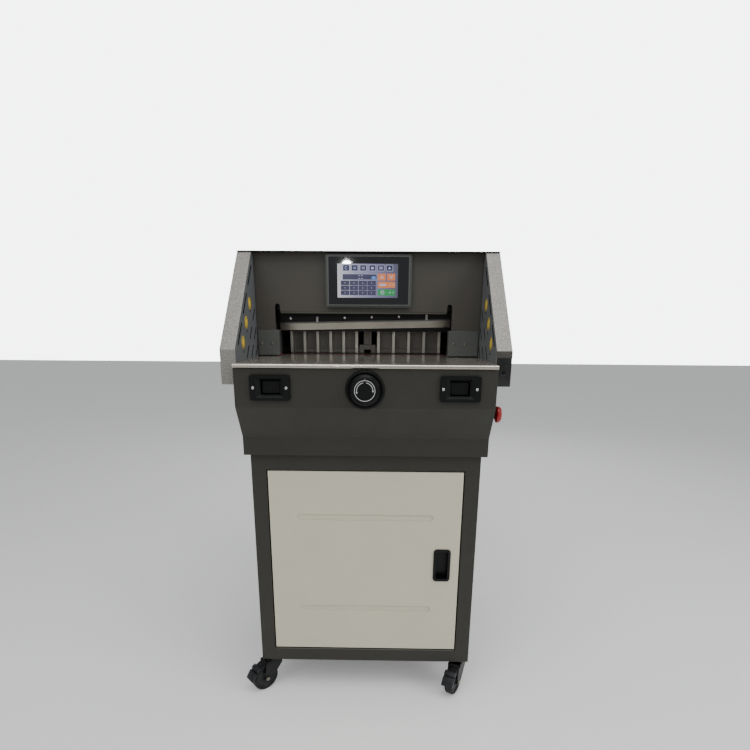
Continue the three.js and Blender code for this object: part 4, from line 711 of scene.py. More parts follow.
def real_faces(tree, copies, finish, result):
    """Ends a tree: its copies become real faces of one finish."""
    whole = tree.nodes.new("GeometryNodeRealizeInstances")
    coat = tree.nodes.new("GeometryNodeSetMaterial")
    wire(
        tree,
        (copies, whole.inputs["Geometry"]),
        (whole.outputs["Geometry"], coat.inputs["Geometry"]),
        (finish, coat.inputs["Material"]),
        (coat.outputs["Geometry"], result),
    )


print("trees so far:", len(bpy.data.node_groups))

# %% A tree that repeats a shape


def stored(tree, name, kind):
    """Reads a value that is stored on the points."""
    made = tree.nodes.new("GeometryNodeInputNamedAttribute")
    made.data_type = kind
    made.inputs["Name"].default_value = name
    return made.outputs["Attribute"]


def repeating_tree():
    kinds = {"Places": "Geometry", "Shape": "Object", "Size": "Float", "Finish": "Material"}
    tree, given, result = new_tree("shape_on_points", kinds)
    shape = tree.nodes.new("GeometryNodeObjectInfo")
    shape.inputs["As Instance"].default_value = True
    stand = tree.nodes.new("FunctionNodeAlignRotationToVector")
    stand.axis = "Z"
    about = tree.nodes.new("FunctionNodeAxisAngleToRotation")
    about.inputs["Axis"].default_value = UP
    turn = tree.nodes.new("FunctionNodeRotateRotation")
    turn.rotation_space = "LOCAL"
    put = tree.nodes.new("GeometryNodeInstanceOnPoints")
    wire(
        tree,
        (given["Places"], put.inputs["Points"]),
        (given["Shape"], shape.inputs["Object"]),
        (shape.outputs["Geometry"], put.inputs["Instance"]),
        (stored(tree, "way", "FLOAT_VECTOR"), stand.inputs["Vector"]),
        (stored(tree, "spin", "FLOAT"), about.inputs["Angle"]),
        (stand.outputs["Rotation"], turn.inputs["Rotation"]),
        (about.outputs["Rotation"], turn.inputs["Rotate By"]),
        (turn.outputs["Rotation"], put.inputs["Rotation"]),
        (given["Size"], put.inputs["Scale"]),
    )
    real_faces(tree, put.outputs["Instances"], given["Finish"], result)
    return tree


REPEAT = repeating_tree()
print("nodes in the tree:", len(REPEAT.nodes))

# %% [markdown]
# A tree runs as a modifier on a helper object. Its result is kept as a plain mesh and the helper
# goes, so what is left is a piece like any other.

# %% Use the tree


def grown(host, tree, values):
    """Runs a tree on an object with named inputs, and gives back a plain mesh."""
    modifier = host.modifiers.new("grow", "NODES")
    modifier.node_group = tree
    for item in tree.interface.items_tree:
        if item.in_out == "INPUT" and item.name in values:
            modifier[item.identifier] = values[item.name]
    bpy.context.scene.collection.objects.link(host)
    bpy.context.view_layer.update()
    evaluated = host.evaluated_get(bpy.context.evaluated_depsgraph_get())
    mesh = bpy.data.meshes.new_from_object(evaluated)
    bpy.data.objects.remove(host)
    return mesh


def shape_object(work):
    mesh = bpy.data.meshes.new("shape")
    work.to_mesh(mesh)
    work.free()
    shaded(mesh)
    made = bpy.data.objects.new("shape", mesh)
    bpy.context.scene.collection.objects.link(made)
    return made


def on_places(name, work, places, way, finish, body, move=None, spins=None):
    """Sets a shape on a list of places. The way is one direction for all, or one for each."""
    points = bpy.data.meshes.new(name)
    points.from_pydata([tuple(p) for p in places], [], [])
    ways = [way] * len(places) if isinstance(way[0], (int, float)) else way
    stored_ways = points.attributes.new("way", "FLOAT_VECTOR", "POINT")
    stored_ways.data.foreach_set("vector", [c for w in ways for c in w])
    stored_spins = points.attributes.new("spin", "FLOAT", "POINT")
    stored_spins.data.foreach_set("value", spins or [0.0] * len(places))
    shape = shape_object(work)
    values = {"Shape": shape, "Size": 1.0, "Finish": finish.material}
    mesh = grown(bpy.data.objects.new(name, points), REPEAT, values)
    bpy.data.objects.remove(shape)
    if move:
        mesh.transform(move)
    return dress(name, mesh, finish, body)


print("inputs of the tree:", [item.name for item in REPEAT.interface.items_tree])

# %% [markdown]
# ## Hand dial
# The dial that jogs the back gauge is a moulded knob in a bezel. Turned profiles give their smooth
# rims, fine ridges round the knob are set by the tree, and two printed arrows show both ways to
# turn. Knob and bezel stand for their solids, so their depths come from those solids' boxes.

# %% Dial
RIDGES, RIDGE_RADIUS, RIDGE_BACK = 60, 0.0358, 0.0118
dial_low, dial_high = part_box("dial_knob")
bezel_low, bezel_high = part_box("dial_bezel")
dial_axis = at(0, 0, -57.5)


def on_dial(y, above_axis=0.0):
    return turned_to(FRONT, (dial_axis.x, y, dial_axis.z + above_axis))


rim = (bezel_high.y - bezel_low.y) / MM
well = rim - 4
ring_line = [(9, 0), (9, well), (38.5, well), (38.5, rim), (43, rim), (45, 4), (45, 0)]
ring = lathe(turned_line(ring_line, 1.6, closed=True), 96, closed=True)
piece("dial_ring", ring, black_plastic, "machine", on_dial(bezel_high.y), ("dial_bezel",))

crown = (dial_high.y - dial_low.y) / MM
skirt, dish = crown - 18, crown - 1.2
knob_line = [
    (0, 0), (8, 0), (8, skirt), (36.3, skirt), (36.3, crown - 7), (31, crown), (27, dish), (0, dish)
]
knob = lathe(turned_line(knob_line, 1.8), 96)
piece("dial_knob_turned", knob, black_plastic, "dial", on_dial(dial_high.y), ("dial_knob",))

ways = [(math.cos(a), 0, math.sin(a)) for a in (2 * math.pi * k / RIDGES for k in range(RIDGES))]
places = [
    (dial_axis.x + RIDGE_RADIUS * x, dial_low.y + RIDGE_BACK, dial_axis.z + RIDGE_RADIUS * z)
    for x, _, z in ways
]
ridge = rounded_plate(0.0013, 0.0095, 0.0005, 0.0014, 0.0004)
on_places("dial_ridges", ridge, places, ways, black_plastic, "dial")
print("dial ridges:", len(places))

# %% [markdown]
# The printed marks are thin raised plates: a ring and two arrows round the knob's face. An arrow is
# an arc with a pointed plate at its end.

# %% Dial markings
PRINT_HEIGHT = 0.00025
ARROW_RADIUS, ARROW_WIDTH, ARROW_SIZE = 0.0185, 0.0013, 0.0042
print_white = moulded("printed_white", (196, 198, 196), 0.5, grain=0.04, spread=0.04)
print_grey = moulded("printed_grey", (92, 88, 80), 0.5, grain=0.04)


def arc_plate(radius, width, start, end, thickness=PRINT_HEIGHT, steps=48):
    """A printed line that follows a circle, between two angles in degrees."""
    work = bmesh.new()
    strips = []
    for k in range(steps + 1):
        a = math.radians(start + (end - start) * k / steps)
        inner, outer = radius - width / 2, radius + width / 2
        flat = [(r * math.cos(a), r * math.sin(a)) for r in (inner, outer)]
        strips.append([work.verts.new((*p, h)) for p in flat for h in (0, thickness)])
    for one, two in zip(strips, strips[1:]):
        for i, j in ((1, 3), (3, 2), (2, 0), (0, 1)):
            work.faces.new((one[i], one[j], two[j], two[i]))
    if abs(end - start) < 360:
        for strip, order in ((strips[0], (0, 2, 3, 1)), (strips[-1], (1, 3, 2, 0))):
            work.faces.new([strip[i] for i in order])
    bmesh.ops.remove_doubles(work, verts=work.verts, dist=1e-6)
    bmesh.ops.recalc_face_normals(work, faces=work.faces)
    return work


def arrow_head(radius, angle, way, size):
    """A printed point on the end of an arc; way is +1 against the clock and -1 with it."""
    a = math.radians(angle)
    out, along = Vector((math.cos(a), math.sin(a))), Vector((-math.sin(a), math.cos(a))) * way
    base = out * radius
    points = [base + out * size * 0.5, base + along * size, base - out * size * 0.5]
    return plate(points[::-way], PRINT_HEIGHT, 0)


marks = joined(
    arc_plate(0.0232, 0.0012, 0, 360, steps=96),
    arc_plate(ARROW_RADIUS, ARROW_WIDTH, 80, 2, steps=30),
    arc_plate(ARROW_RADIUS, ARROW_WIDTH, 100, 188, steps=30),
    arrow_head(ARROW_RADIUS, 2, -1, ARROW_SIZE),
    arrow_head(ARROW_RADIUS, 188, 1, ARROW_SIZE),
)
dial_face = dial_high.y - dish * MM
piece("dial_arrows", marks, print_white, "dial", on_dial(dial_face + 0.00005))
dot = lathe([mm(0, 0), mm(1.6, 0), mm(1.6, 0.3), mm(1.2, 0.5), mm(0, 0.5)], 24)
piece("dial_pointer", dot, print_grey, "dial", on_dial(dial_face, 0.0265))
print("dial face at y", round(dial_face, 4))

# %% [markdown]
# ## Emergency stop
# The mushroom head is a glossy moulding with a rolled rim and a shallow dish in its crown. It is
# turned about the axis of the solid that it stands for, and keeps the bore for the stem.

# %% Mushroom head
STEM_BORE = 5.3
stop_low, stop_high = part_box("estop_head")
stop_middle = (stop_low + stop_high) / 2


def on_stop(x):
    return turned_to(RIGHT, (x, stop_middle.y, stop_middle.z))


reach = (stop_high.x - stop_low.x) / MM
bore_end = reach / 2 + 0.3
head_line = [(STEM_BORE, 0), (12, 0), (20, 3.4), (20, 9), (16.5, reach)]
head_line += [(11, reach - 0.6), (0, reach - 1.6)]
bore_line = [Vector(mm(*p)) for p in ((0, bore_end), (STEM_BORE, bore_end), (STEM_BORE, 0))]
mushroom = lathe(bore_line + turned_line(head_line, 2.4, 6)[1:], 64)
piece("estop_mushroom", mushroom, red_plastic, "stop_head", on_stop(stop_low.x), ("estop_head",))

collar_low, collar_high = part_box("estop_collar")
top = (collar_high.x - collar_low.x) / MM
edge = (collar_high.z - collar_low.z) / 2 / MM
collar_line = [(9.4, 0), (9.4, top), (edge - 2.5, top), (edge, top - 2), (edge, 0)]
collar = lathe(turned_line(collar_line, 0.8, 3, True), 64, closed=True)
piece("estop_bezel", collar, black_plastic, "machine", on_stop(collar_low.x), ("estop_collar",))
print("mushroom reaches", round(reach, 1), "mm")

# %% [markdown]
# ## Screws and bolts
# Panels are held by pan-head screws, the knife carrier by a row of bright bolts. Each row is a list
# of places read off the machine, and the tree sets the heads on them, turned at random as in life.

# %% Heads


def quads_between(work, low, high):
    """Joins two rings of points that have the same count."""
    for k in range(len(low)):
        n = (k + 1) % len(low)
        work.faces.new((low[k], low[n], high[n], high[k]))


def socket_screw(radius, height, sides=24):
    """A low domed head with a six-sided socket; its foot is at height zero."""
    work = bmesh.new()

    def ring(reach, level, flat=False):
        made = []
        for k in range(sides):
            angle = 2 * math.pi * k / sides
            part = angle % (math.pi / 3) - math.pi / 6
            far = reach * math.cos(math.pi / 6) / math.cos(part) if flat else reach
            made.append(work.verts.new((far * math.cos(angle), far * math.sin(angle), level)))
        return made

    rings = [
        ring(radius, 0),
        ring(radius, height * 0.35),
        ring(radius * 0.86, height * 0.8),
        ring(radius * 0.6, height),
        ring(radius * 0.52, height, True),
        ring(radius * 0.5, height * 0.4, True),
    ]
    for low, high in zip(rings, rings[1:]):
        quads_between(work, low, high)
    work.faces.new(rings[-1])
    work.faces.new(rings[0][::-1])
    return work


def hex_bolt(flats, height):
    """A bolt head with six flats and a chamfered top."""
    corner = flats / math.sqrt(3)
    line = [(0, 0), (corner, 0), (corner, height * 0.8), (corner * 0.86, height), (0, height)]
    return lathe(line, 6)


print("a socket screw has", len(socket_screw(0.004, 0.002).faces), "faces")

# %% Screws on the front
import random

SCREW_SEED = 7
BUTTON_SCREWS = (-256.2, -180.1, 178.7, 255.1)
COVER_SCREWS = ((-290.7, 34.3), (-261.4, 33.4), (232.3, 34.8), (263.3, 34))
chance = random.Random(SCREW_SEED)


def screw_row(name, places, way, radius, height, finish, body):
    spins = [chance.uniform(0, math.pi) for _ in places]
    return on_places(name, socket_screw(radius, height), places, way, finish, body, spins=spins)


dull_steel = ground_steel("dull_steel", (122, 116, 104), 0.45, ALONG_Z, spread=0.06)
guard_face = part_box("button_housing_left")[0].y
button_places = [on_face(x, guard_face, -54) for x in BUTTON_SCREWS]
screw_row("button_guard_screws", button_places, FRONT, 0.0034, 0.0016, screw_steel, "machine")
cover_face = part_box("guide_cover_left")[0].y
cover_places = [on_face(x, cover_face, height) for x, height in COVER_SCREWS]
screw_row("guide_cover_screws", cover_places, FRONT, 0.0036, 0.0018, dull_steel, "machine")
print("screws on the front:", len(button_places) + len(cover_places))

# %% [markdown]
# The knife leans a little at rest, and its carrier with it, so a bolt's height changes with its
# distance from the middle. Two longer bright pins stand between the bolts.

# %% Bolts of the knife carrier
CARRIER_LEAN = math.tan(math.radians(1.344))
carrier_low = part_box("knife_carrier")[0]


def on_carrier(x, height):
    """A place on the carrier's front, at a height over the table at the middle of the machine."""
    return Vector((x * MM, carrier_low.y, at(0, 0, height).z + x * MM * CARRIER_LEAN))


bolts = [on_carrier(x, 105.5) for x in (-220.5, -67.5, 9, 85.5)]
screw_row("carrier_bolts", bolts, FRONT, 0.0042, 0.003, screw_steel, "knife")
pins = [on_carrier(x, 101.5) for x in (-145, 163)]
pin = rounded_plate(0.006, 0.0155, 0.0024, 0.0035, 0.0008)
on_places("carrier_pins", pin, pins, FRONT, print_white, "knife")
print("carrier bolts:", len(bolts), "carrier front at y", round(carrier_low.y, 4))

# %% [markdown]
# ## Edges of the openings
# A folded lip stiffens the head's sheet over the throat, and a thin strip lies on the lower edge of
# the door's opening. Both are painted lighter than the body, as a painted highlight where these
# folds catch the light.

# %% Lip over the throat and sill under the door
SILL_PLAY, SILL_DROP = 0.004, 0.0042
# A lighter paint for these folds, which is a painted highlight.
fold_highlight_paint = powder_coat("fold_highlight_paint", (82, 80, 73), 0.4)
lip = rounded_plate(0.446, 0.006, 0.001, 0.0015, 0.0004)
piece("throat_lip", lip, fold_highlight_paint, "machine", turned_to(FRONT, at(-12.5, 273.7, 116.2)))
door_low, door_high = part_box("door_panel")
sill = rounded_plate(door_high.x - door_low.x - SILL_PLAY, 0.0022, 0.0008, 0.0004, 0.0002)
sill_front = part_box("cabinet_shell")[0].y
sill_place = ((door_low.x + door_high.x) / 2, sill_front, door_low.z - SILL_DROP)
piece("door_sill", sill, fold_highlight_paint, "machine", turned_to(FRONT, sill_place))
print("sill at", [round(v, 4) for v in sill_place])

# %% [markdown]
# ## Ribbed table
# The steel table has fine ribs from front to back that wrap round its rolled front edge, so paper
# glides on a film of air. One rib is a thin bar that follows the table's profile, mostly sunk into
# it, and a tree sets the same bar side by side across the table.

# %% A tree that lays bars side by side


def rib_tree():
    kinds = {
        "Path": "Geometry", "Count": "Int", "Pitch": "Vector", "Side": "Float", "Finish": "Material"
    }
    tree, given, result = new_tree("bars_side_by_side", kinds)
    line = tree.nodes.new("GeometryNodeMeshToCurve")
    section = tree.nodes.new("GeometryNodeCurvePrimitiveQuadrilateral")
    bar = tree.nodes.new("GeometryNodeCurveToMesh")
    bar.inputs["Fill Caps"].default_value = True
    row = tree.nodes.new("GeometryNodeMeshLine")
    put = tree.nodes.new("GeometryNodeInstanceOnPoints")
    wire(
        tree,
        (given["Path"], line.inputs["Mesh"]),
        (line.outputs["Curve"], bar.inputs["Curve"]),
        (given["Side"], section.inputs["Width"]),
        (given["Side"], section.inputs["Height"]),
        (section.outputs["Curve"], bar.inputs["Profile Curve"]),
        (given["Count"], row.inputs["Count"]),
        (given["Pitch"], row.inputs["Offset"]),
        (row.outputs["Mesh"], put.inputs["Points"]),
        (bar.outputs["Mesh"], put.inputs["Instance"]),
    )
    real_faces(tree, put.outputs["Instances"], given["Finish"], result)
    return tree


RIBS = rib_tree()
print("nodes in the tree:", len(RIBS.nodes))

# %% [markdown]
# A rib's path is a side view of the table. Over the rolled edge it follows an arc, then ends a
# little below it. Behind the cutting line the ribs run on over the rear table, on top only.

# %% Table ribs
RIB_PITCH, RIB_SIDE, RIB_SINK, NOSE = 4.6, 3.1, 1.25, 4.5
rib_steel = ground_steel("rib_steel", (214, 208, 197), 0.17, ALONG_Y, spread=0.04, metallic=0.85)


def round_the_nose():
    """The path over the table's rolled edge, in millimetres of depth and height."""
    sunk = NOSE - RIB_SINK
    bend = [math.radians(a) for a in range(90, 181, 15)]
    path = [(NOSE + sunk * math.cos(a), -NOSE + sunk * math.sin(a)) for a in bend]
    return path + [(RIB_SINK, -5.5 - NOSE * 0.3)]


def ribs(name, left, right, back, front_end):
    """Bars between two places across the table, from a depth at the back to a front end."""
    count = int((right - left) / RIB_PITCH) + 1
    first = (left + right - (count - 1) * RIB_PITCH) / 2
    path = [(back, -RIB_SINK)] + front_end
    line = bpy.data.meshes.new(name)
    steps = [(i, i + 1) for i in range(len(path) - 1)]
    line.from_pydata([tuple(at(first, y, z)) for y, z in path], steps, [])
    pitch = (RIB_PITCH * MM, 0, 0)
    values = {"Count": count, "Pitch": pitch, "Side": RIB_SIDE * MM, "Finish": rib_steel.material}
    mesh = grown(bpy.data.objects.new(name, line), RIBS, values)
    dress(name, mesh, rib_steel, "machine", sharp=60)
    return count


front_count = ribs("table_ribs", -299, 299, 288, round_the_nose())
back_count = ribs("table_ribs_behind", -246, 240, 359, [(289, -RIB_SINK)])
print("ribs:", front_count, "and", back_count)

# %% [markdown]
# ## Back gauge
# The comb's ribs are bare machined steel and catch the light in front of a dark plate. Both belong
# to one casting, so the copy keeps its shape and only the ribs' faces take the brighter finish. The
# recesses beside the middle column and the notch under it are painted black, as painted shade.

# %% Gauge comb
COMB_MIDDLE, PLATE_FRONT, NOTCH = -0.005, 0.0178, 0.0103
PAINTED, BARE, PAINTED_SHADE = 0, 1, 2
comb_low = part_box("back_gauge_comb")[0]
gauge_paint = powder_coat("gauge_paint", (122, 118, 112), 0.4)
gauge_rib_steel = ground_steel("gauge_rib_steel", (198, 195, 187), 0.46, ALONG_Z)


def comb_finish(centre):
    """The finish of a face of the comb, by where its middle lies."""
    back, rise = centre.y - comb_low.y, centre.z - comb_low.z
    off_middle = abs(centre.x - COMB_MIDDLE)
    beside_column = 0.0175 < back < 0.0185 and off_middle < 0.03 and rise > 0.024
    in_notch = 0.001 < back and off_middle < NOTCH and rise < NOTCH
    # The recesses beside the column and the notch take black as painted shade.
    if beside_column or in_notch:
        return PAINTED_SHADE
    return BARE if back < PLATE_FRONT and off_middle > 0.027 and rise > 0.0125 else PAINTED


comb = softened("back_gauge_comb", 0.0006, gauge_paint)
for finish in (gauge_rib_steel, shade_black):
    comb.data.materials.append(finish.material)
for face in comb.data.polygons:
    face.material_index = comb_finish(face.center)
counts = [sum(f.material_index == kind for f in comb.data.polygons) for kind in (BARE, PAINTED_SHADE)]
print("bare faces on the comb:", counts[0], "lined:", counts[1])

# %% [markdown]
# ## Touch display
# The display glows on its own, so its picture is made of thin tiles of glowing material just above
# the glass: icons over a value field, a keypad, two arrow keys and two wide keys, all with plain
# marks. Its ground fades across the glass, from pale at the left to dark at the right, which is a
# painted glare of the room's light on the glass.

# %% Glowing finishes
PICTURE_LEFT, PICTURE_TOP, PICTURE_WIDTH, PICTURE_HEIGHT = -80, 237, 158, 83.6
FADE_START = 4
GLARE_FADE = {
    0.0: (232, 230, 236),
    0.28: (172, 172, 200),
    0.6: (134, 134, 170),
    1.0: (84, 82, 104),
}


def glowing(name, colour, strength=0.75, spread=0.05):
    made = Finish(name, [c * 0.35 for c in colour], 0.3, spread=spread, patch=14)
    stops = [(0.3, shade(colour, 1 - spread)), (0.7, shade(colour, 1 + spread))]
    made.join(made.ramp(made.noise(11), stops), made.shader.inputs["Emission Color"])
    made.set("Emission Strength", strength)
    return made


def painted_glare_fade(finish):
    """Lets a glowing finish fade from the picture's left edge to its right edge, as a painted glare."""
    parts = finish.add("ShaderNodeSeparateXYZ")
    finish.join(finish.coords, parts.inputs[0])
    span = finish.add("ShaderNodeMapRange")
    span.inputs["From Min"].default_value = (PICTURE_LEFT + FADE_START) * MM
    span.inputs["From Max"].default_value = (PICTURE_LEFT + PICTURE_WIDTH) * MM
    finish.join(parts.outputs["X"], span.inputs["Value"])
    stops = [(place, shade(colour)) for place, colour in GLARE_FADE.items()]
    light = finish.ramp(span.outputs["Result"], stops)
    finish.join(light, finish.shader.inputs["Emission Color"])


violet = glowing("glow_violet", (132, 132, 172), 0.72, spread=0.2)
# The fade over the ground is a painted glare.
painted_glare_fade(violet)
navy = glowing("glow_navy", (40, 46, 92), 0.7)
key_violet = glowing("glow_key", (62, 62, 96), 0.7, spread=0.12)
pale = glowing("glow_pale", (196, 198, 226), 0.8)
orange = glowing("glow_orange", (226, 130, 78), 0.85)
green = glowing("glow_green", (38, 152, 80), 0.85)
blue = glowing("glow_blue", (96, 150, 226), 0.85)
print("glowing finishes:", sum(m.name.startswith("glow_") for m in bpy.data.materials))

# %% [markdown]
# The picture is laid out by shares of its width and height from its top left corner, as on a
# screen. Each layer lies a little higher than the one under it, so none of them flickers.

# %% Tiles of the display
TILE = 0.00012
GROUND, FIRST, SECOND, THIRD, MARKS = 0.12, 0.26, 0.4, 0.54, 0.56
glass_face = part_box("touch_screen")[0].y


def on_screen(u, v, lift):
    """A place on the display, by shares of the picture from its top left corner."""
    x, height = PICTURE_LEFT + PICTURE_WIDTH * u, PICTURE_TOP - PICTURE_HEIGHT * v
    return turned_to(FRONT, on_face(x, glass_face - lift * MM, height))


def on_display(name, finish, lift, drawn):
    """One piece of shapes that are each given with the shares u and v of their middle."""
    for u, v, work in drawn:
        work.transform(on_screen(u, v, lift))
    piece(name, joined(*[work for _, _, work in drawn]), finish, "machine")


def tiles(name, finish, lift, boxes, corner=1.2):
    """Tiles of one finish, each given as middle u, middle v, width and height in millimetres."""
    drawn = [(u, v, rounded_plate(*mm(w, h, corner), TILE, 0)) for u, v, w, h in boxes]
    on_display(name, finish, lift, drawn)


ICONS, ICON_ROW = (0.146, 0.286, 0.427, 0.578, 0.718, 0.859), 0.123
UP_KEY, DOWN_KEY = (0.735, 0.386), (0.888, 0.386)
WIDE_KEY, GREEN_KEY = (0.813, 0.614), (0.813, 0.843)
FIELD = (0.369, 0.386)
keys = [(0.125 + 0.147 * i, 0.563 + 0.147 * k, 22, 11.4) for i in range(4) for k in range(3)]
outlines = [(u, ICON_ROW, 18, 15.6) for u in ICONS] + [(*FIELD, 91, 15.6)]
orange_keys = [(*UP_KEY, 20.5, 16.6), (*DOWN_KEY, 20.5, 16.6), (*WIDE_KEY, 45, 15)]

tiles("screen_ground", violet, GROUND, [(0.5, 0.5, PICTURE_WIDTH, PICTURE_HEIGHT)], 0.5)
tiles("screen_outlines", pale, FIRST, outlines, 1.8)
tiles("screen_icons", navy, SECOND, [(u, ICON_ROW, 16, 13.6) for u in ICONS])
tiles("screen_field", key_violet, SECOND, [(*FIELD, 89, 13.6)], 0.8)
tiles("screen_keys", key_violet, FIRST, keys, 0.8)
tiles("screen_cursor", blue, THIRD, [(0.6, 0.41, 10, 7)], 0.4)
tiles("screen_orange", orange, FIRST, orange_keys, 1.0)
tiles("screen_green", green, FIRST, [(*GREEN_KEY, 45, 15)], 1.0)
print("keys on the display:", len(keys) + len(orange_keys) + 1)

# %% Marks on the tiles


def polygon(*points):
    return plate([Vector(mm(*p)) for p in points], TILE, 0)


def bar(width, height, x=0.0, y=0.0):
    work = rounded_plate(*mm(width, height, 0.4), TILE, 0)
    work.transform(Matrix.Translation(mm(x, y, 0)))
    return work


def ring_mark(radius, width, start, end, steps):
    return arc_plate(radius, width, start, end, thickness=TILE, steps=steps)


peak = ((-5.2, -4), (-3, -4), (0, 0.6), (3, -4), (5.2, -4), (0, 4.4))
tick = ((-2.8, 0.4), (-1.7, 1.4), (-0.6, 0.3), (2.2, 3.2), (3.3, 2.2), (-0.6, -1.8))
drawn = [
    (*UP_KEY, polygon(*peak)),
    (*DOWN_KEY, polygon(*[(x, -y) for x, y in reversed(peak)])),
    (0.75, 0.614, bar(17, 5)),
    (0.87, 0.614, bar(2.2, 3.4)),
    (0.925, 0.614, bar(2.2, 3.4)),
    (0.745, 0.843, ring_mark(0.0046, 0.0013, 0, 360, 40)),
    (0.745, 0.843, polygon(*tick)),
    (0.87, 0.843, bar(4.2, 2.6)),
    (0.925, 0.843, bar(2.2, 2.6)),
]
icon_marks = [
    ring_mark(0.0032, 0.0011, 40, 320, 24),
    joined(bar(8, 1.1, 0, 1.6), bar(8, 1.1, 0, -1.6)),
    joined(bar(1.3, 6.5, -2.6), bar(1.3, 4.5), bar(1.3, 6.5, 2.6)),
    joined(bar(7, 4.6), bar(3, 1, 0, -4)),
    joined(*[bar(3, 3, x, y) for y in (1.9, -1.9) for x in (-2.4, 2.4)]),
    polygon((-4, -2.6), (4, -2.6), (0, 3.4)),
]
drawn += [(u, ICON_ROW, work) for u, work in zip(ICONS, icon_marks)]
drawn += [(0.36 + 0.045 * i, 0.35 + 0.08 * k, bar(4.6, 1.3)) for i in range(2) for k in range(2)]
drawn += [(u, v, rod(1.1, 0, TILE / MM, 16)) for u, v, _, _ in keys]
on_display("screen_marks", pale, MARKS, drawn)
print("marks on the display:", len(drawn))

# %% [markdown]
# ## Wing details
# Three yellow discs with a dark ring sit beside the slots on each inner plate. They are turned
# once and set on their places, whose heights differ a little from wing to wing.

# %% Yellow discs
disc_yellow = moulded("disc_yellow", (232, 200, 70), 0.4, grain=0.05, spread=0.05)
disc_black = moulded("disc_black", (22, 22, 20), 0.45, grain=0.05)
DISCS = {
    "left": (RIGHT, ((205.9, 136.1), (160.4, 89.1), (119.5, 42.4))),
    "right": (LEFT, ((204.3, 134.9), (159.0, 88.8), (114.8, 42.4))),
}
for side, (way, spots) in DISCS.items():
    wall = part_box("wing_plate_" + side)
    inner = wall[1].x if way == RIGHT else wall[0].x
    spots = [(inner, *at(0, depth, height)[1:]) for depth, height in spots]
    disc = lathe([mm(0, -0.2), mm(15, -0.2), mm(15, 0.25), mm(14.6, 0.5), mm(0, 0.5)], 48)
    on_places("wing_discs_" + side, disc, spots, way, disc_yellow, "machine")
    ring = arc_plate(0.0124, 0.0013, 0, 360, thickness=0.0008)
    on_places("wing_disc_rings_" + side, ring, spots, way, disc_black, "machine")
print("yellow discs:", sum(len(spots) for _, spots in DISCS.values()))

# %% [markdown]
# ## Slots of the inner plates
# The slots and the small round holes of the light curtain are punched through the sheet. Their
# walls are painted black, and a thin black sheet behind them is painted shade for the dark inside
# of the wing. So every slot reads as a crisp dark stroke, even when it is seen almost edge-on.

# %% Painted shade behind the slots
SHADE_SHEET, SHADE_SHEET_GAP = 0.0002, 0.00005
NEAR_RIM, FACING = 0.001, 0.9


def rim_of(node, x):
    """The outer corners of a flat, bulging plate, in order, as (depth, height) at one face."""
    solid = frame["nodes"][node].data
    level = [v.co for v in solid.vertices if abs(v.co.x - x) < 1e-5]
    spots = {(round(p.y, 5), round(p.z, 5)) for p in level}

    def half_hull(row):
        made = []
        for p in map(Vector, row):
            while len(made) > 1 and (made[-1] - made[-2]).cross(p - made[-1]) <= 0:
                made.pop()
            made.append(p)
        return made[:-1]

    return half_hull(sorted(spots)) + half_hull(sorted(spots, reverse=True))


for side, sign in (("left", -1), ("right", 1)):
    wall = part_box("wing_plate_" + side)
    outer = wall[0].x if sign < 0 else wall[1].x
    outline = rim_of("wing_plate_" + side, outer)
    stand = crosswise(outer + (sign - 1) * SHADE_SHEET / 2 + sign * SHADE_SHEET_GAP)
    # A thin black sheet behind the plate is painted shade inside the wing.
    piece("wing_lining_" + side, plate(outline, SHADE_SHEET, 0), shade_black, "machine", stand)
    drilled = softened("wing_plate_" + side, 0.0002)
    drilled.data.materials.append(shade_black.material)
    edges = list(zip(outline, outline[1:] + outline[:1]))
    dark = 0
    for face in drilled.data.polygons:
        spot = Vector((face.center.y, face.center.z))
        gap = min(abs((b - a).normalized().cross(spot - a)) for a, b in edges)
        # The slot walls take the black finish as painted shade.
        if abs(face.normal.x) < FACING and gap > NEAR_RIM:
            face.material_index = 1
            dark += 1
    print(side, "plate: dark faces in its slots", dark)

# %% [markdown]
# The right wing ends in a folded grey cap over a black cover plate with a small rocker switch. All
# four are flat plates with eased edges, one over the other on the wing's front.

# %% Cap and cover plate of the right wing
wing_low, wing_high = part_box("wing_cover_right")
cover_black = moulded("cover_black", (10, 10, 11), 0.3, grain=0.05)
WING_FRONT = {
    "wing_cap": ((0.0362, 0.0150, 0.0012, 0.0012, 0.0005), body_paint, 22.0),
    "wing_cover_plate": ((0.0345, 0.0655, 0.001, 0.0012, 0.0004), cover_black, -18.6),
    "wing_switch_frame": ((0.017, 0.026, 0.002, 0.0030, 0.0008), cover_black, -14.0),
    "wing_switch_lever": ((0.0085, 0.0065, 0.0012, 0.0065, 0.0012), black_plastic, -19.5),
}
for name, (sizes, finish, height) in WING_FRONT.items():
    place = ((wing_low.x + wing_high.x) / 2, wing_low.y, at(0, 0, height).z)
    piece(name, rounded_plate(*sizes), finish, "machine", turned_to(FRONT, place))
print("plates on the right wing:", len(WING_FRONT))

# %% [markdown]
# ## Casters
# Each wheel is a grey-black nylon core with a rubber tyre, turned on the axle of its solid. The
# fork gets its pressed hood and bright axle bolts. The brake pedal of a front caster is stepped, so
# that a shoe finds its upper and its lower pad, and both pads are ribbed against slipping.
# A caster is drawn about its swivel axis, with the axle along X and the wheel trailing along Y.

# %% Caster places
AXLE, PEDAL_PIN, LEG_FACE = (30, 37.5), (26, 83.5), 16.5
joint_of = {j["name"]: j for j in frame["joints"]}


def caster_stand(end, side):
    rolls = joint_of[f"{end}_wheel_{side}_roll"]
    axle_way = Vector(rolls["axis"]).normalized()
    trail = Vector(UP).cross(axle_way)
    foot = Vector(rolls["pos_m"]) - trail * AXLE[0] * MM
    turn = Matrix((axle_way, trail, Vector(UP))).transposed().to_4x4()
    return Matrix.Translation((foot.x, foot.y, 0)) @ turn


ENDS = [(end, side) for end in ("front", "rear") for side in ("left", "right")]
CASTERS = {(end, side): caster_stand(end, side) for end, side in ENDS}
print("casters:", len(CASTERS))

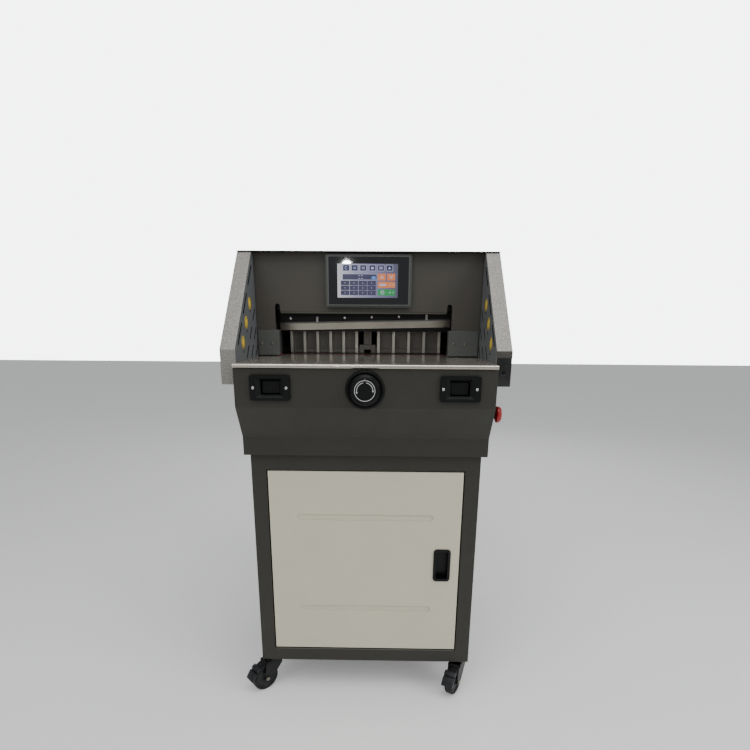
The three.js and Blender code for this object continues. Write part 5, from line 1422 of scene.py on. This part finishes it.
# %% Wheels
TYRE_LINE = [
    (29, -8.4), (31, -9.4), (34, -12), (37.4, -9.2), (37.4, 9.2), (34, 12), (31, 9.4), (29, 8.4)
]
CORE_HALF = [(4.4, -12), (12.6, -12), (14.5, -8), (26.5, -6.4), (29.6, -9)]
CORE_LINE = CORE_HALF + [(r, -h) for r, h in reversed(CORE_HALF)]
nylon = moulded("wheel_nylon", (24, 25, 27), 0.4, mirror=0.35)
for (end, side), stand in CASTERS.items():
    body, node = f"{end}_wheel_{side}", f"caster_{end}_{side}_wheel"
    on_axle = stand @ turned_to(RIGHT, mm(0, *AXLE))
    tyre = lathe(turned_line(TYRE_LINE, 1.6, 4, True), 72, closed=True)
    piece(f"tyre_{end}_{side}", tyre, rubber, body, on_axle, (node,))
    core = lathe(turned_line(CORE_LINE, 0.8, 3, True), 72, closed=True)
    piece(f"wheel_core_{end}_{side}", core, nylon, body, on_axle)
print("wheels turned:", len(CASTERS))

# %% [markdown]
# A fork is pressed from one sheet: two legs under a flat crown, with a hood between them over the
# wheel. Each part is an outline seen from the side, given its width along the axle.

# %% Fork shapes
FORK_TOP = 87.9
LEG = [
    (-19.8, FORK_TOP), (-19.8, 71), (13.5, 33.5), (18.5, 28.6), (24.5, 26.4),
    (31, 26.6), (37, 30.4), (40, 37.5), (33.5, 66), (31.8, FORK_TOP),
]
CROWN = [(-19.8, FORK_TOP), (-19.8, FORK_TOP - 5), (10, FORK_TOP - 5), (10, FORK_TOP)]
HOOD = [
    (-19.4, FORK_TOP - 4), (-19.4, 72), (-3.4, 62.5), (-2.2, 64.2), (-17, 73), (-17, FORK_TOP - 4)
]


def eased_edges(work, width):
    round_over(work, sharp_edges(work), width, clamp=True)
    return work


def along_axle(points, half_width, width):
    """An outline in (trail, height) millimetres, given width along the axle."""
    work = plate([Vector(mm(*p)) for p in points], half_width * 2 * MM, 0)
    work.transform(crosswise(-half_width * MM))
    return eased_edges(work, width * MM)


def fork_shape():
    """Both legs, the crown, the hood, and the bars of the axle and of the pedal."""
    legs = [along_axle(LEG, 1.25, 0.4) for _ in range(2)]
    for leg, sign in zip(legs, (-1, 1)):
        leg.transform(Matrix.Translation(mm(sign * 15.25, 0, 0)))
    bars = [rod(radius, -15, 15, 32) for radius in (4, 2.5)]
    for part, place in zip(bars, (AXLE, PEDAL_PIN)):
        part.transform(turned_to(RIGHT, mm(0, *place)))
    return joined(*legs, along_axle(CROWN, 15.6, 0.3), along_axle(HOOD, 14.6, 0.3), *bars)


print("a fork has", len(fork_shape().faces), "faces")

# %% Forks, plates and bolts


def both_sides(place):
    """The two outer ends of a bar through the fork."""
    return [mm(sign * LEG_FACE, *place) for sign in (-1, 1)]


for (end, side), stand in CASTERS.items():
    front = end == "front"
    body = f"fork_{side}" if front else "machine"
    if front:
        fork = f"caster_{end}_{side}_fork"
        piece(f"caster_fork_{side}", fork_shape(), black_steel, body, stand, (fork,))
    else:
        softened(f"caster_{end}_{side}_bracket", 0.0005)
    bolt, ends = hex_bolt(0.011, 0.004), both_sides(AXLE)
    name = f"axle_bolts_{end}_{side}"
    on_places(name, bolt, ends, (LEFT, RIGHT), machined_steel, body, move=stand)
    if front:
        softened(f"caster_{end}_{side}_plate", 0.0006)
        rivet = lathe(turned_line([(0, 0), (4, 0), (4, 1), (2.4, 2), (0, 2.2)], 0.5, 3), 24)
        ends, name = both_sides(PEDAL_PIN), f"pedal_rivets_{side}"
        on_places(name, rivet, ends, (LEFT, RIGHT), black_steel, body, move=stand)
print("forks dressed:", sum(end == "front" for end, _ in CASTERS))

# %% [markdown]
# A pad is a cushion: its outline shrinks along a quarter circle towards both ends, which leaves no
# sharp corner for a shoe. The outline is given by radius and angle about the axle, because the
# pedal wraps round the wheel.

# %% Cushion shapes


def inset(outline, depth):
    """The same outline, moved inwards; it runs counterclockwise."""
    made = []
    for i, p in enumerate(outline):
        a, b = (p - outline[i - 1]).normalized(), (outline[(i + 1) % len(outline)] - p).normalized()
        made.append(p + Vector((-a.y - b.y, a.x + b.x, 0)) * depth / (1 + a.dot(b)))
    return made


def cushion(outline, half_width, radius):
    """An outline in (trail, height) millimetres, given width and rounded at both ends."""
    work = bmesh.new()
    rings = []
    for sign, turns in ((-1, (90, 60, 30, 0)), (1, (0, 30, 60, 90))):
        for bend in map(math.radians, turns):
            spot = sign * (half_width - radius * (1 - math.sin(bend)))
            row = inset(outline, radius * (1 - math.cos(bend)))
            rings.append([work.verts.new(mm(spot, p.x, p.y)) for p in row])
    for one, two in zip(rings, rings[1:]):
        quads_between(work, one, two)
    work.faces.new(rings[0])
    work.faces.new(rings[-1])
    bmesh.ops.recalc_face_normals(work, faces=work.faces)
    return work


def from_axle(radius, degrees):
    a = math.radians(degrees)
    return Vector((AXLE[0] + radius * math.cos(a), AXLE[1] + radius * math.sin(a), 0))


print("pedals start", round(from_axle(42.6, 10.5).y, 1), "mm above the floor")

# %% Stepped brake pedals
PAD_OUTER, PAD_INNER = 47.8, 42.6
PAD_HALF_WIDTH, PAD_ROUND, PAD_CORNER = 16.4, 1.2, 1.7
UPPER_STEP = [(PAD_OUTER, a) for a in (47, 55.5, 64)] + [(PAD_INNER, a) for a in (64, 55.5, 47)]
LOWER_STEP = [(51, 10.5), (48.6, 19), (PAD_OUTER, 28), (PAD_OUTER, 41)]
LOWER_STEP += [(PAD_INNER, a) for a in (41, 28, 19, 10.5)]
GRIP_ANGLES = (18, 23, 28, 33, 38, 51, 56, 61)
pedal_grey = moulded("pedal_grey", (26, 28, 32), 0.4, grain=0.2, mirror=0.4)


def pad(step):
    outline = eased([from_axle(*p) for p in step], PAD_CORNER)
    return cushion(outline, PAD_HALF_WIDTH, PAD_ROUND)


for side in ("left", "right"):
    stand, body = CASTERS["front", side], f"brake_{side}"
    softened(f"caster_front_{side}_brake", 0.0006)
    pads = joined(pad(UPPER_STEP), pad(LOWER_STEP))
    piece(f"pedal_pads_{side}", pads, pedal_grey, body, stand)
    radii = [47.6 + 0.1 * max(0, 28 - a) for a in GRIP_ANGLES]
    radial = [(0, math.cos(a), math.sin(a)) for a in map(math.radians, GRIP_ANGLES)]
    spots = [mm(0, *from_axle(r, a)[:2]) for r, a in zip(radii, GRIP_ANGLES)]
    grip = rounded_plate(0.024, 0.0016, 0.0006, 0.0012, 0.0004)
    on_places(f"pedal_grips_{side}", grip, spots, radial, pedal_grey, body, move=stand)
print("grips on a pedal:", len(GRIP_ANGLES))

# %% [markdown]
# ## Back and sides
# The rear sheets are held by rows of pan-head screws, whose places come from the sheets' own faces.

# %% Screws of the sheets
SHEET_SCREW = (0.0042, 0.0022)
BACK_SCREWS = [(x, z) for x in (-0.276, 0.276) for z in (0.125, 0.31, 0.495, 0.68)]
HEAD_SCREWS = [(x, z) for x in (-0.322, -0.11, 0.11, 0.322) for z in (1.062, 1.176)]
HOOD_SCREWS = [(y, 0.806) for y in (0.225, 0.33, 0.435)]
WING_SCREWS = [(-0.39, 0.89), (0.022, 0.89), (0.022, 1.174), (-0.18, 1.174)]
back_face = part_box("cabinet_back_panel")[1].y
cover = frame["nodes"]["rear_cover"].data
head_back = max(v.co.y for v in cover.vertices if v.co.z > cad_high.z - 0.002)
hood_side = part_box("front_housing")[1].x
wing_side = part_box("wing_cover_right")[1].x

rows = {
    "back_panel_screws": (REAR, [(x, back_face, z) for x, z in BACK_SCREWS]),
    "head_back_screws": (REAR, [(x, head_back, z) for x, z in HEAD_SCREWS]),
}
for sheet, x, spots in (("hood", hood_side, HOOD_SCREWS), ("wing", wing_side, WING_SCREWS)):
    rows[sheet + "_screws_right"] = (RIGHT, [(x, y, z) for y, z in spots])
    rows[sheet + "_screws_left"] = (LEFT, [(-x, y, z) for y, z in spots])
for name, (way, places) in rows.items():
    screw_row(name, places, way, *SHEET_SCREW, black_steel, "machine")
print("rows of screws:", len(rows))

# %% [markdown]
# Low on the back sits a mains inlet with a rocker switch. Its frame is two flat rings, one standing
# in the other, around three bare blades.

# %% Mains inlet
INLET_X, INLET_Z, SWITCH_Z = 0.19, 0.2, 0.186


def on_back(height, lift=0.0):
    return turned_to(REAR, (INLET_X, back_face + lift * MM, height))


def flat_ring(outside, inside, corner, thickness):
    """A rounded plate with a rounded opening, both given as width and height."""
    outer, inner = eased(corners(*outside), corner), eased(corners(*inside), corner / 2)
    work = bmesh.new()
    levels = ((outer, 0), (outer, thickness), (inner, thickness), (inner, 0))
    rings = [[work.verts.new((*p[:2], level)) for p in line] for line, level in levels]
    for low, high in zip(rings, rings[1:] + rings[:1]):
        quads_between(work, low, high)
    bmesh.ops.recalc_face_normals(work, faces=work.faces)
    return work


inlet = joined(
    flat_ring((0.050, 0.062), (0.028, 0.048), 0.003, 0.0025),
    flat_ring((0.032, 0.052), (0.0275, 0.0475), 0.0015, 0.0045),
)
piece("mains_inlet_frame", inlet, black_plastic, "machine", on_back(INLET_Z))
inlet_floor = rounded_plate(0.0285, 0.0485, 0.001, 0.0006, 0)
piece("mains_inlet_floor", inlet_floor, rubber, "machine", on_back(INLET_Z, 0.05))
blades = [mm(x, z) for x, z in ((-6.5, 10), (6.5, 10), (0, 16))]
blades = [(INLET_X - x, back_face + 0.0006, INLET_Z + z) for x, z in blades]
blade = rounded_plate(0.0022, 0.006, 0.0006, 0.0032, 0.0004)
on_places("mains_inlet_blades", blade, blades, REAR, machined_steel, "machine")
rocker = lathe([mm(0, 0), mm(9.5, 0), mm(9.5, 2.6), mm(8.6, 3.4), mm(0, 2.2)], 4)
rocker.transform(Matrix.Rotation(math.pi / 4, 4, "Z") @ Matrix.Diagonal((1.0, 0.72, 1, 1)))
rocker = eased_edges(rocker, 0.0005)
piece("mains_switch", rocker, black_plastic, "machine", on_back(SWITCH_Z, 0.6))
print("inlet blades:", len(blades))
